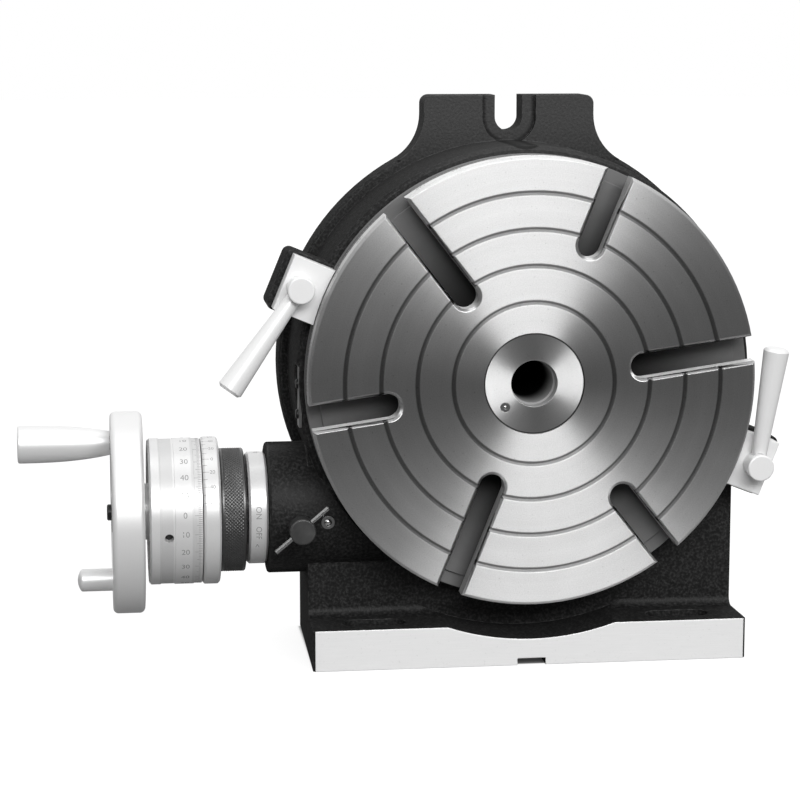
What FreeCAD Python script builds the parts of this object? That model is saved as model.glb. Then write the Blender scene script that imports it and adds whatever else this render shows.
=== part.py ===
import FreeCAD, Part
import math
import os
import Sketcher

# A horizontal and vertical rotary indexing table. The origin is the centre of the table's face, X runs to
# the right along the worm, Y goes back along the table's axis, and Z is up. Lengths are in millimetres.

SIZES = {
    # table plate, with its grooves, slots and clamping groove
    "table_radius": 125.0,
    "table_thick": 28.0,
    "table_edge": 1.5,
    "face_groove_first": 45.0,
    "face_groove_step": 20.0,
    "face_groove_width": 3.0,
    "face_groove_depth": 1.3,
    "rim_groove_front": 17.0,
    "rim_groove_width": 4.5,
    "rim_groove_radius": 117.5,
    "slot_width": 14.0,
    "slot_edge": 1.5,
    "slot_depth": 20.0,
    "tee_width": 23.0,
    "tee_height": 9.0,
    "long_slot_tip": 55.0,
    "short_slot_tip": 75.0,
    "slot_first_angle": 8.0,
    # spindle: boss, journals and thread behind the plate
    "hub_radius": 56.0,
    "hub_length": 21.0,
    "wheel_seat_radius": 42.0,
    "journal_radius": 34.0,
    "thread_radius": 30.0,
    "spindle_end": 107.0,
    # sleeve with the tapered socket
    "insert_radius": 27.75,
    "insert_thick": 8.0,
    "insert_recess": 0.5,
    "sleeve_radius": 20.0,
    "register_radius": 13.0,
    "register_depth": 8.0,
    "taper_large_radius": 11.91,
    "taper_ratio": 19.922,
    "taper_length": 81.0,
    # worm and worm wheel
    "tooth_module": 1.5,
    "wheel_width": 18.0,
    "worm_pitch_radius": 10.5,
    "tooth_play": 0.16,
    "thread_half_length": 18.85,
    "worm_core_radius": 8.4,
    "worm_journal_radius": 12.4,
    "worm_tail_radius": 8.0,
    "worm_neck_radius": 9.0,
    "worm_relief_left": -44.0,
    "worm_relief_right": 34.0,
    "worm_journal_end": -48.0,
    # eccentric sleeve that carries the worm
    "eccentric_throw": 4.0,
    "eccentric_radius": 22.0,
    "eccentric_right": 62.0,
    "eccentric_window": 42.0,
    "worm_bore_radius": 12.45,
    "end_bush_length": 16.0,
    "thrust_wall_right": -150.0,
    "thrust_washer_thick": 2.0,
    "spigot_radius": 18.0,
    "neck_radius": 20.3,
    # stack of rings along the worm, each by its left face
    "boss_left": -144.6,
    "collar_left": -155.9,
    "collar_radius": 32.0,
    "neck_left": -157.5,
    "lock_ring_left": -172.0,
    "lock_ring_radius": 35.2,
    "vernier_left": -182.0,
    "vernier_radius": 41.9,
    "drum_left": -211.8,
    "drum_radius": 41.5,
    "drum_wall": 4.5,
    "drum_web_left": -206.5,
    "drum_web_thick": 11.0,
    "drum_band_left": -205.4,
    "drum_band_right": -197.5,
    "drum_scale_left": -186.8,
    "drum_band_depth": 0.35,
    "drum_screw_angle": 10.5,
    "drum_screw_radius": 2.5,
    "drum_screw_sink": 5.0,
    "ring_edge": 1.2,
    # handwheel with its handle and peg
    "wheel_left": -232.3,
    "wheel_right": -214.4,
    "handwheel_radius": 57.2,
    "rim_thick": 12.0,
    "rim_round": 3.0,
    "web_thick": 6.0,
    "rim_lip": 2.0,
    "hub_flare": 4.0,
    "wheel_hub_radius": 16.0,
    "wheel_hub_right": -198.5,
    "shaft_radius": 8.0,
    "handle_inset": 17.2,
    "handle_left": -284.0,
    "handle_big_radius": 10.6,
    "handle_small_radius": 6.8,
    "handle_axle_radius": 4.0,
    "handle_thread_radius": 3.0,
    "handle_screw_head": 6.0,
    "handle_screw_sink": 0.8,
    "handle_sink_depth": 5.0,
    "handle_waist": 0.6,
    "handle_edge": 1.0,
    "handle_boss_radius": 8.0,
    "peg_inset": 18.2,
    "peg_left": -252.0,
    "peg_radius": 6.4,
    "peg_dome": 2.2,
    "wheel_screw_radius": 4.6,
    "wheel_screw_head": 2.5,
    "washer_radius": 11.5,
    "washer_thick": 1.5,
    "key_width": 5.0,
    "key_length": 18.0,
    "key_inset": 4.0,
    "key_seat_depth": 3.0,
    "axis_screw_length": 14.0,
    # body casting
    "centre_height": 160.0,
    "half_width": 123.0,
    "body_depth": 110.0,
    "foot_front": 2.0,
    "foot_thick": 23.0,
    "side_draft": 2.0,
    "foot_corner": 1.5,
    "wall_front": 37.0,
    "ledge_fillet": 5.0,
    "scoop_radius": 145.0,
    "wall_top": -20.0,
    "drum_casting_radius": 129.0,
    "drum_front": 30.0,
    "drum_bevel": 2.0,
    "flange_radius": 134.5,
    "flange_bevel": 1.5,
    "way_outer": 120.0,
    "chamber_radius": 73.0,
    "chamber_front": 46.5,
    "chamber_back": 69.5,
    "rear_wall_back": 90.0,
    "nut_chamber_radius": 50.0,
    "boss_radius": 37.5,
    "boss_reach": -50.0,
    "boss_round": 1.6,
    "lug_half_width": 49.5,
    "lug_top": 155.0,
    "lug_thick": 22.0,
    "lug_blend": 30.0,
    "lug_corner": 5.0,
    "bolt_slot_width": 16.0,
    "lug_slot_bottom": 134.5,
    "lug_spot_radius": 15.5,
    "lug_spot_depth": 2.5,
    "foot_slot_length": 36.0,
    "foot_slot_width": 15.0,
    "foot_slot_offset": 87.0,
    "foot_slot_depth_place": 19.0,
    "key_slot_width": 16.0,
    "key_slot_depth": 4.0,
    # rim clamps
    "clamp_radius": 139.0,
    "left_clamp_angle": 157.5,
    "right_clamp_angle": 338.7,
    "dog_half_width": 16.0,
    "dog_outer": 148.0,
    "dog_front": 13.2,
    "dog_back": 27.0,
    "dog_lip_reach": 119.0,
    "dog_lip_front": 17.7,
    "dog_lip_thick": 3.3,
    "pad_front": 27.4,
    "pad_back": 52.0,
    "pad_half_width": 17.5,
    "pad_inner": 114.0,
    "pad_outer": 151.5,
    "pad_corner": 4.0,
    "stud_radius": 5.0,
    "stud_head_radius": 7.5,
    "stud_head_thick": 5.0,
    "stud_end": 46.0,
    "lever_hub_radius": 7.1,
    "lever_hub_back": 12.9,
    "lever_tilt": 4.5,
    "lever_length": 68.0,
    "lever_big_radius": 7.2,
    "lever_small_radius": 3.9,
    "lever_round": 1.5,
    "left_lever_angle": 234.0,
    "right_lever_angle": 83.0,
    # lock screw of the eccentric sleeve, with its tommy bar
    "lock_screw_place": -127.7,
    "lock_screw_drop": 3.7,
    "lock_screw_head_radius": 7.25,
    "lock_screw_head_front": 7.0,
    "lock_screw_head_thick": 11.0,
    "lock_screw_radius": 4.0,
    "lock_pad_thick": 3.0,
    "small_edge": 0.6,
    "tommy_radius": 1.45,
    "tommy_half_length": 19.0,
    "tommy_angle": 40.0,
    # oilers, index plate, rear cover and rear bearing
    "spindle_oiler_radius": 2.7,
    "housing_oiler_radius": 3.7,
    "oiler_wall": 1.1,
    "oiler_lip": 0.5,
    "oiler_lip_thick": 0.8,
    "oiler_ball_sink": 0.3,
    "oiler_ball_play": 0.1,
    "oiler_depth": 7.5,
    "spindle_oiler_x": -16.2,
    "spindle_oiler_z": -12.9,
    "housing_oiler_place": -112.2,
    "housing_oiler_drop": 2.1,
    "index_plate_face": 126.0,
    "index_plate_thick": 1.6,
    "index_plate_front": 30.5,
    "index_plate_back": 42.0,
    "index_plate_top": 7.0,
    "index_plate_bottom": -27.0,
    "index_screw_high": -3.0,
    "index_screw_low": -20.0,
    "small_screw_radius": 1.5,
    "small_head_radius": 2.7,
    "small_head_thick": 1.5,
    "small_screw_length": 8.0,
    "collar_screw_sink": 1.5,
    "cover_radius": 60.0,
    "cover_thick": 2.4,
    "cover_hole_radius": 22.0,
    "cover_screw_inset": 5.0,
    "race_thick": 2.5,
    "race_inner": 35.0,
    "race_outer": 47.0,
    "nut_edge": 1.0,
    "ball_radius": 2.5,
    "lock_washer_thick": 1.2,
    "spindle_nut_radius": 43.0,
    "nut_notch_depth": 3.5,
    "nut_notch_width": 6.0,
    "worm_race_outer": 16.5,
    "worm_race_thick": 2.0,
    "worm_ball_radius": 1.8,
    "worm_nut_radius": 15.5,
    "worm_nut_thick": 5.0,
    "worm_notch_width": 4.0,
    "race_edge": 0.4,
    "wheel_screw_circle": 49.0,
    "m6_radius": 3.0,
    "m6_head_radius": 5.0,
    "m6_head_thick": 6.0,
    "m6_socket_radius": 2.5,
    "wheel_screw_grip": 12.0,
    "wheel_screw_sink": 1.0,
    # fits
    "fit": 0.03,
    "clear_hole": 0.1,
    "sleeve_play": 0.12,
    "running_gap": 0.3,
    "way_gap": 0.05,
    "clear_of_table": 2.0,
    "overcut": 1.0,
    "tool_reach": 5.0,
}

# The long T-slots are each second one, and the counts are whole numbers.
FACE_GROOVES = 4
SLOTS = 6
WHEEL_TEETH = 90
REAR_BALLS = 14
WORM_BALLS = 8
WHEEL_SCREWS = 6
COVER_SCREWS = 4
NUT_NOTCHES = 4
# The sleeve's trough spans the angles from 165 to 310 degrees, counted from the back over the top, and
# the window takes the rest.
WINDOW_ANGLES = (-50.0, 10.0, 70.0, 130.0, 165.0)
PRESSURE_ANGLE = 20.0
DEDENDUM_SHARE = 1.2
QUARTER = 90.0
FULL_TURN = 360.0
LEFTWARDS = FreeCAD.Vector(0, -1, 0)
BACKWARDS = FreeCAD.Vector(-1, 0, 0)

doc = FreeCAD.newDocument("RotaryTable")
sheet = doc.addObject("Spreadsheet::Sheet", "Sizes")
for row, (alias, number) in enumerate(SIZES.items(), start=1):
    sheet.set("A%d" % row, alias)
    sheet.set("B%d" % row, str(number))
    sheet.setAlias("B%d" % row, alias)
doc.recompute()


class Measure:
    """A size kept twice: as a number, and as the text that binds a property to the sheet."""

    def __init__(self, number, text):
        self.number = number
        self.text = text

    def joined(self, other, sign, number):
        return Measure(number, "(%s %s %s)" % (self.text, sign, as_measure(other).text))

    def __add__(self, other):
        return self.joined(other, "+", self.number + as_measure(other).number)

    def __sub__(self, other):
        return self.joined(other, "-", self.number - as_measure(other).number)

    def __mul__(self, other):
        return self.joined(other, "*", self.number * as_measure(other).number)

    def __truediv__(self, other):
        return self.joined(other, "/", self.number / as_measure(other).number)

    def __neg__(self):
        return Measure(-self.number, "(0 - %s)" % self.text)

    def cosine(self):
        return Measure(math.cos(math.radians(self.number)), "cos(%s * 1 deg)" % self.text)

    def sine(self):
        return Measure(math.sin(math.radians(self.number)), "sin(%s * 1 deg)" % self.text)

    def root(self):
        return Measure(math.sqrt(self.number), "sqrt(%s)" % self.text)


def as_measure(thing):
    """A bare number counts as a measure of its own."""
    return thing if isinstance(thing, Measure) else Measure(float(thing), repr(float(thing)))


def size(alias):
    """The measure of one cell of the sheet."""
    return Measure(float(sheet.get(alias)), "Sizes." + alias)


def bind(thing, prop, measure):
    """Tie one property of an object to the sheet."""
    thing.setExpression(prop, as_measure(measure).text)


def place(thing, at=(0, 0, 0), axis=None, turn=0):
    """Put an object at a point, turned about an axis through it, both tied to the sheet."""
    spot = [as_measure(c) for c in at]
    angle = as_measure(turn)
    base = FreeCAD.Vector(*[c.number for c in spot])
    rotation = FreeCAD.Rotation(axis, angle.number) if axis else FreeCAD.Rotation()
    thing.Placement = FreeCAD.Placement(base, rotation)
    for letter, c in zip("xyz", spot):
        if "Sizes" in c.text:
            bind(thing, "Placement.Base." + letter, c)
    if "Sizes" in angle.text and axis:
        bind(thing, "Placement.Rotation.Angle", angle)
    return thing


def sketch_on(body, role):
    """A sketch on one of a body's own origin planes."""
    sketch = body.newObject("Sketcher::SketchObject", body.Name + "_sketch")
    plane = [f for f in body.Origin.OriginFeatures if f.Role == role][0]
    sketch.AttachmentSupport = (plane, [""])
    sketch.MapMode = "FlatFace"
    return sketch


def arc_between(start, end, radius):
    """The short arc from start to end: a positive radius has its centre on the left of the way."""
    along = end - start
    side = FreeCAD.Vector(-along.y, along.x, 0).normalize()
    rise = math.sqrt(radius * radius - along.Length * along.Length / 4)
    centre = (start + end) * 0.5 + side * math.copysign(rise, radius)
    first, last = (start, end) if radius > 0 else (end, start)
    angles = [math.atan2(p.y - centre.y, p.x - centre.x) for p in (first, last)]
    circle = Part.Circle(centre, FreeCAD.Vector(0, 0, 1), abs(radius))
    return Part.ArcOfCircle(circle, angles[0], angles[1])


def outline(sketch, corners):
    """A closed outline. Each corner is its two coordinates, and a third value is the radius of the arc
    that runs from it to the next corner. Every coordinate and radius is tied to the sheet."""
    corners = [tuple(as_measure(c) for c in corner) for corner in corners]
    points = [FreeCAD.Vector(c[0].number, c[1].number, 0) for c in corners]
    heads = []
    for n, corner in enumerate(corners):
        start, end = points[n], points[(n + 1) % len(points)]
        if len(corner) == 3:
            sketch.addGeometry(arc_between(start, end, corner[2].number), False)
            heads.append((1, 2) if corner[2].number > 0 else (2, 1))
        else:
            sketch.addGeometry(Part.LineSegment(start, end), False)
            heads.append((1, 2))
    for n, corner in enumerate(corners):
        before = n - 1 if n else len(corners) - 1
        link = Sketcher.Constraint("Coincident", before, heads[before][1], n, heads[n][0])
        sketch.addConstraint(link)
        for kind, measure in zip(("DistanceX", "DistanceY"), corner):
            rule = Sketcher.Constraint(kind, -1, 1, n, heads[n][0], measure.number)
            index = sketch.addConstraint(rule)
            if "Sizes" in measure.text:
                bind(sketch, "Constraints[%d]" % index, measure)
        if len(corner) == 3:
            index = sketch.addConstraint(Sketcher.Constraint("Radius", n, abs(corner[2].number)))
            measure = corner[2] if corner[2].number > 0 else -corner[2]
            if "Sizes" in measure.text:
                bind(sketch, "Constraints[%d]" % index, measure)
    return sketch


def turned(label, corners, about, at=(0, 0, 0), axis=None, turn=0):
    """A turned piece: its half section on the XY plane, spun about the sketch's V_Axis or H_Axis."""
    body = doc.addObject("PartDesign::Body", label)
    sketch = outline(sketch_on(body, "XY_Plane"), corners)
    spin = body.newObject("PartDesign::Revolution", label + "_turning")
    spin.Profile = sketch
    spin.ReferenceAxis = (sketch, [about])
    spin.Angle = FULL_TURN
    body.Tip = spin
    sketch.Visibility = False
    return place(body, at, axis, turn)


def padded(label, plane, corners, length, middle=False, back=False, at=(0, 0, 0), axis=None, turn=0):
    """A plate: its outline on an origin plane, given a thickness along the plane's normal."""
    body = doc.addObject("PartDesign::Body", label)
    sketch = outline(sketch_on(body, plane), corners)
    pad = body.newObject("PartDesign::Pad", label + "_pad")
    pad.Profile = sketch
    bind(pad, "Length", length)
    pad.Midplane = middle
    pad.Reversed = back
    body.Tip = pad
    return place(body, at, axis, turn)


def cylinder(label, radius, length, at, axis=None, turn=0):
    """A plain round bar. Unturned, it stands on its base point and goes up."""
    bar = doc.addObject("Part::Cylinder", label)
    bind(bar, "Radius", radius)
    bind(bar, "Height", length)
    return place(bar, at, axis, turn)


def along_x(label, radius, left, right, y, z):
    """A round bar along X, from its left face to its right face."""
    return cylinder(label, radius, right - left, (left, y, z), FreeCAD.Vector(0, 1, 0), QUARTER)


def along_y(label, radius, front, back, x=0, z=0):
    """A round bar along Y, from its front face to its back face."""
    return cylinder(label, radius, back - front, (x, front, z), BACKWARDS, QUARTER)


def along_z(label, radius, bottom, top, x=0, y=0):
    """A round bar along Z, from its bottom to its top."""
    return cylinder(label, radius, top - bottom, (x, y, bottom))


def block(label, low, high):
    """A box between two corners."""
    low = [as_measure(c) for c in low]
    high = [as_measure(c) for c in high]
    box = doc.addObject("Part::Box", label)
    for prop, a, b in zip(("Length", "Width", "Height"), low, high):
        bind(box, prop, b - a)
    return place(box, low)


def fused(label, pieces):
    """Several solids made one."""
    whole = doc.addObject("Part::MultiFuse", label)
    whole.Shapes = pieces
    whole.Refine = True
    return whole


def cut(label, base, tools):
    """A solid less one or more tools."""
    piece = doc.addObject("Part::Cut", label)
    piece.Base = base
    piece.Tool = tools[0] if len(tools) == 1 else fused(label + "_tools", tools)
    piece.Refine = True
    return piece


def group(label, pieces):
    """Like fasteners kept apart as solids of one node."""
    kit = doc.addObject("Part::Compound", label)
    kit.Links = pieces
    return kit


def plain(label, shape, at=(0, 0, 0), axis=None, turn=0):
    """A shape worked out in code, from sizes that are read from the sheet."""
    piece = doc.addObject("Part::Feature", label)
    piece.Shape = shape
    return place(piece, at, axis, turn)


NODES = {}


def node(name, piece):
    """Name a sub-part."""
    piece.Label = name
    NODES[name] = piece
    return piece


# Sizes that follow from others
teeth_pitch_radius = size("tooth_module") * WHEEL_TEETH / 2
worm_z = -(teeth_pitch_radius + size("worm_pitch_radius"))
wheel_front = size("table_thick") + size("hub_length")
worm_y = wheel_front + size("wheel_width") / 2
eccentric_y = worm_y + size("eccentric_throw")
wheel_back = wheel_front + size("wheel_width")
screw_seat = wheel_back - size("m6_head_thick") - size("wheel_screw_sink")
floor_z = -size("centre_height")
ledge_z = floor_z + size("foot_thick")
way_front = size("table_thick") + size("way_gap")
insert_back = size("insert_recess") + size("insert_thick")
boss_front = eccentric_y - size("boss_radius")
handle_throw = size("handwheel_radius") - size("handle_inset")
peg_throw = size("handwheel_radius") - size("peg_inset")
housing_oiler_z = worm_z - size("housing_oiler_drop")
thread_tip = size("worm_pitch_radius") + size("tooth_module")
reach = size("tool_reach")
fit = size("fit")
gap = size("running_gap")
over = size("overcut")


def spaced(count, n, first=0.0):
    """The angle of one of several like things on a circle, the first at a share of the spacing."""
    return as_measure(FULL_TURN / count * (n + first))


def on_circle(radius, angle):
    """A point's two coordinates on a circle."""
    return radius * angle.cosine(), radius * angle.sine()


def ring_profile(left, right, inner, outer, edge):
    """The half section of a ring about X with both outer edges bevelled."""
    return [(left, inner), (right, inner), (right, outer - edge), (right - edge, outer),
            (left + edge, outer), (left, outer - edge)]


def slot_cutter(label, tip, angle):
    """The tool of one T-slot: its section carried outwards, and turned about the round inner end."""
    half, tee, edge = size("slot_width") / 2, size("tee_width") / 2, size("slot_edge")
    depth, shoulder = size("slot_depth"), size("slot_depth") - size("tee_height")
    side = [(half + edge, -reach), (half + edge, 0), (half, edge), (half, shoulder), (tee, shoulder),
            (tee, depth)]
    centre = tip + half
    runs = size("table_radius") - centre + reach
    bar = padded(label + "_run", "XY_Plane", side + [(-u, v) for u, v in reversed(side)], runs)
    end = turned(label + "_end", [(0, -reach)] + side + [(0, depth)], "V_Axis")
    carrier = group(label, [fused(label + "_straight", [bar, end])])
    x, z = on_circle(centre, angle)
    return place(carrier, (x, 0, z), LEFTWARDS, angle - QUARTER)


def make_table_plate():
    """The plate and its hollow spindle are one casting, turned and then slotted."""
    r, t, e = size("table_radius"), size("table_thick"), size("table_edge")
    groove_front = size("rim_groove_front")
    groove_back = groove_front + size("rim_groove_width")
    bore = size("sleeve_radius") + fit
    seat = size("insert_radius") + fit
    nut_seat = size("rear_wall_back") + size("race_thick") * 2 + size("ball_radius") * 2
    corners = [(bore, insert_back), (seat, insert_back), (seat, 0)]
    for n in range(FACE_GROOVES):
        centre = size("face_groove_first") + size("face_groove_step") * n
        half = size("face_groove_width") / 2
        corners += [(centre - half, 0), (centre, size("face_groove_depth")), (centre + half, 0)]
    corners += [(r - e, 0), (r, e), (r, groove_front), (size("rim_groove_radius"), groove_front),
                (size("rim_groove_radius"), groove_back), (r, groove_back), (r, t - e / 2), (r - e / 2, t),
                (size("hub_radius"), t), (size("hub_radius"), wheel_front),
                (size("wheel_seat_radius"), wheel_front), (size("wheel_seat_radius"), wheel_back),
                (size("journal_radius"), wheel_back), (size("journal_radius"), nut_seat),
                (size("thread_radius"), nut_seat), (size("thread_radius"), size("spindle_end")),
                (bore, size("spindle_end"))]
    blank = turned("table_blank", corners, "V_Axis")
    tools = []
    for n in range(SLOTS):
        tip = size("short_slot_tip") if n % 2 else size("long_slot_tip")
        angle = size("slot_first_angle") + FULL_TURN / SLOTS * n
        tools.append(slot_cutter("slot_%d" % (n + 1), tip, angle))
    for n in range(WHEEL_SCREWS):
        tools.append(wheel_screw_bar("hub_tapping_%d" % (n + 1), n, size("m6_radius") + fit, 0))
    node("table_plate", cut("table_plate", blank, tools))


def wheel_screw_bar(label, n, radius, late):
    """A bar on one of the worm wheel's screw places, from the thread's end to the head's seat."""
    x, z = wheel_screw_spot(n)
    return along_y(label, radius, wheel_front - size("wheel_screw_grip"), screw_seat + late, x, z)


def wheel_screw_spot(n):
    """The centre of one of the worm wheel's screws."""
    return on_circle(size("wheel_screw_circle"), spaced(WHEEL_SCREWS, n, 0.5))


def make_worm_wheel():
    """Ninety teeth round a bronze ring. The two faces are turned a little against each other, so each
    tooth lies along the worm's thread."""
    pitch_r = teeth_pitch_radius.number
    m = size("tooth_module").number
    tip_r, root_r = pitch_r + m, pitch_r - m * DEDENDUM_SHARE
    slope = math.tan(math.radians(PRESSURE_ANGLE))
    half = (math.pi * m / 2 - size("tooth_play").number) / 2
    tooth = []
    for radius, side in ((root_r, -1), (tip_r, -1), (tip_r, 1), (root_r, 1)):
        across = half - (radius - pitch_r) * slope
        tooth.append((radius, side * across / radius))
    lead_angle = math.atan(m / 2 / size("worm_pitch_radius").number)
    skew = size("wheel_width").number / 2 * math.tan(lead_angle) / pitch_r
    wires = []
    for y, twist in ((wheel_front.number, skew), (wheel_back.number, -skew)):
        points = []
        for n in range(WHEEL_TEETH):
            middle = -math.pi / 2 + 2 * math.pi * n / WHEEL_TEETH + twist
            for radius, angle in tooth:
                a = middle + angle
                points.append(FreeCAD.Vector(radius * math.cos(a), y, radius * math.sin(a)))
        wires.append(Part.makePolygon(points + points[:1]))
    ring = plain("toothed_ring", Part.makeLoft(wires, True, True))
    tools = [along_y("wheel_bore", size("wheel_seat_radius") + fit, wheel_front - reach, wheel_back + reach)]
    for n in range(WHEEL_SCREWS):
        tools.append(wheel_screw_bar("wheel_hole_%d" % (n + 1), n, size("m6_radius") + size("clear_hole"),
                                     reach))
        x, z = wheel_screw_spot(n)
        tools.append(along_y("wheel_sink_%d" % (n + 1), size("m6_head_radius") + gap, screw_seat,
                             wheel_back + reach, x, z))
    node("worm_wheel", cut("worm_wheel", ring, tools))


def make_worm_wheel_screws():
    """Socket screws from behind, their heads sunk in the wheel."""
    screws = []
    end = wheel_front - size("wheel_screw_grip") + over
    head_back = screw_seat + size("m6_head_thick")
    socket_front = screw_seat + size("m6_head_thick") / 2
    section = [(0, end), (size("m6_radius"), end), (size("m6_radius"), screw_seat),
               (size("m6_head_radius"), screw_seat), (size("m6_head_radius"), head_back),
               (size("m6_socket_radius"), head_back), (size("m6_socket_radius"), socket_front),
               (0, socket_front)]
    for n in range(WHEEL_SCREWS):
        x, z = wheel_screw_spot(n)
        screws.append(turned("wheel_screw_%d" % (n + 1), section, "V_Axis", (x, 0, z)))
    node("worm_wheel_screws", group("worm_wheel_screws", screws))


def make_spindle_sleeve():
    """The bright insert in the middle: a flange, a short parallel register and the tapered socket."""
    back = size("spindle_end") - over
    taper_start = size("insert_recess") + size("register_depth")
    taper_end = taper_start + size("taper_length")
    small = size("taper_large_radius") - size("taper_length") / size("taper_ratio") / 2
    drawbar = small - size("small_edge")
    corners = [(size("register_radius"), size("insert_recess")),
               (size("insert_radius"), size("insert_recess")), (size("insert_radius"), insert_back),
               (size("sleeve_radius"), insert_back), (size("sleeve_radius"), back), (drawbar, back),
               (drawbar, taper_end), (small, taper_end), (size("taper_large_radius"), taper_start),
               (size("register_radius"), taper_start)]
    blank = turned("sleeve_blank", corners, "V_Axis")
    hole = along_y("sleeve_oil_hole", size("spindle_oiler_radius") + fit, size("insert_recess") - over,
                   size("insert_recess") + size("oiler_depth"), size("spindle_oiler_x"),
                   size("spindle_oiler_z"))
    node("spindle_sleeve", cut("spindle_sleeve", blank, [hole]))


def make_oiler(name, cup, x, z, front):
    """A press-in ball oiler: a thin cup, and the ball that closes its mouth."""
    back = front + size("oiler_depth")
    hole, wall = cup - size("oiler_wall"), size("oiler_wall")
    lip = hole - size("oiler_lip")
    corners = [(lip, front), (cup, front), (cup, back), (0, back), (0, back - wall), (hole, back - wall),
               (hole, front + size("oiler_lip_thick"))]
    node(name + "_cup", turned(name + "_cup", corners, "V_Axis", (x, 0, z)))
    radius = hole - size("oiler_ball_play")
    ball = doc.addObject("Part::Sphere", name + "_ball")
    bind(ball, "Radius", radius)
    # Pressed against the back of the lip, the ball's front comes this far short of its centre.
    rest = (radius * radius - lip * lip).root()
    place(ball, (x, front + size("oiler_ball_sink") + rest, z))
    node(name + "_ball", ball)


def make_rear_bearing():
    """Two races with balls between them take the nut's pull on the rear wall."""
    front = size("rear_wall_back")
    t, inner, outer = size("race_thick"), size("race_inner"), size("race_outer")
    node("rear_race_fixed", turned("rear_race_fixed", [(inner, front), (outer, front), (outer, front + t),
                                                       (inner, front + t)], "V_Axis"))
    second = front + t + size("ball_radius") * 2
    bore = size("journal_radius") + fit
    rim = outer - size("nut_edge")
    corners = [(bore, second), (rim, second), (rim, second + t), (bore, second + t)]
    node("rear_race_turning", turned("rear_race_turning", corners, "V_Axis"))
    balls = []
    circle = (inner + outer) / 2
    for n in range(REAR_BALLS):
        x, z = on_circle(circle, spaced(REAR_BALLS, n))
        ball = doc.addObject("Part::Sphere", "rear_ball_%d" % (n + 1))
        bind(ball, "Radius", size("ball_radius"))
        place(ball, (x, front + t + size("ball_radius"), z))
        balls.append(ball)
    node("rear_thrust_balls", group("rear_thrust_balls", balls))
    washer_front = second + t
    nut_front = washer_front + size("lock_washer_thick")
    bore = size("thread_radius") + fit
    nut, edge, end = size("spindle_nut_radius"), size("nut_edge"), size("spindle_end")
    corners = [(bore, washer_front), (nut + edge, washer_front), (nut + edge, nut_front), (bore, nut_front)]
    node("spindle_lock_washer", turned("spindle_lock_washer", corners, "V_Axis"))
    corners = [(bore, nut_front), (nut - edge, nut_front), (nut, nut_front + edge), (nut, end - edge),
               (nut - edge, end), (bore, end)]
    blank = turned("nut_blank", corners, "V_Axis")
    tools = []
    for n in range(NUT_NOTCHES):
        half = size("nut_notch_width") / 2
        notch = block("nut_notch_%d" % (n + 1), (nut - size("nut_notch_depth"), nut_front - over, -half),
                      (nut + reach, end + over, half))
        tools.append(spun_about_y(notch, spaced(NUT_NOTCHES, n)))
    node("spindle_lock_nut", cut("spindle_lock_nut", blank, tools))


def spun_about_y(piece, angle):
    """The same piece, turned about the table's axis."""
    return place(group(piece.Name + "_turned", [piece]), (0, 0, 0), LEFTWARDS, angle)


def make_rear_cover():
    """A thin disc let into the back, held by small screws."""
    back = size("body_depth") - gap
    front = back - size("cover_thick")
    blank = turned("cover_blank", [(size("cover_hole_radius"), front), (size("cover_radius"), front),
                                   (size("cover_radius"), back), (size("cover_hole_radius"), back)],
                   "V_Axis")
    holes, screws = [], []
    shank, head = size("small_screw_radius"), size("small_head_radius")
    end, head_front = front - size("small_screw_length"), back - size("small_head_thick")
    corners = [(0, end), (shank, end), (shank, head_front), (head, head_front), (head, back), (0, back)]
    for n in range(COVER_SCREWS):
        x, z = cover_screw_spot(n)
        holes.append(along_y("cover_hole_%d" % (n + 1), shank + size("clear_hole"), front - over,
                             back + over, x, z))
        holes.append(along_y("cover_sink_%d" % (n + 1), head + size("clear_hole"), head_front, back + over,
                             x, z))
        screws.append(turned("cover_screw_%d" % (n + 1), corners, "V_Axis", (x, 0, z)))
    node("rear_cover", cut("rear_cover", blank, holes))
    node("rear_cover_screws", group("rear_cover_screws", screws))


def cover_screw_spot(n):
    """The centre of one of the rear cover's screws."""
    return on_circle(size("cover_radius") - size("cover_screw_inset"), spaced(COVER_SCREWS, n, 0.5))


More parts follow.
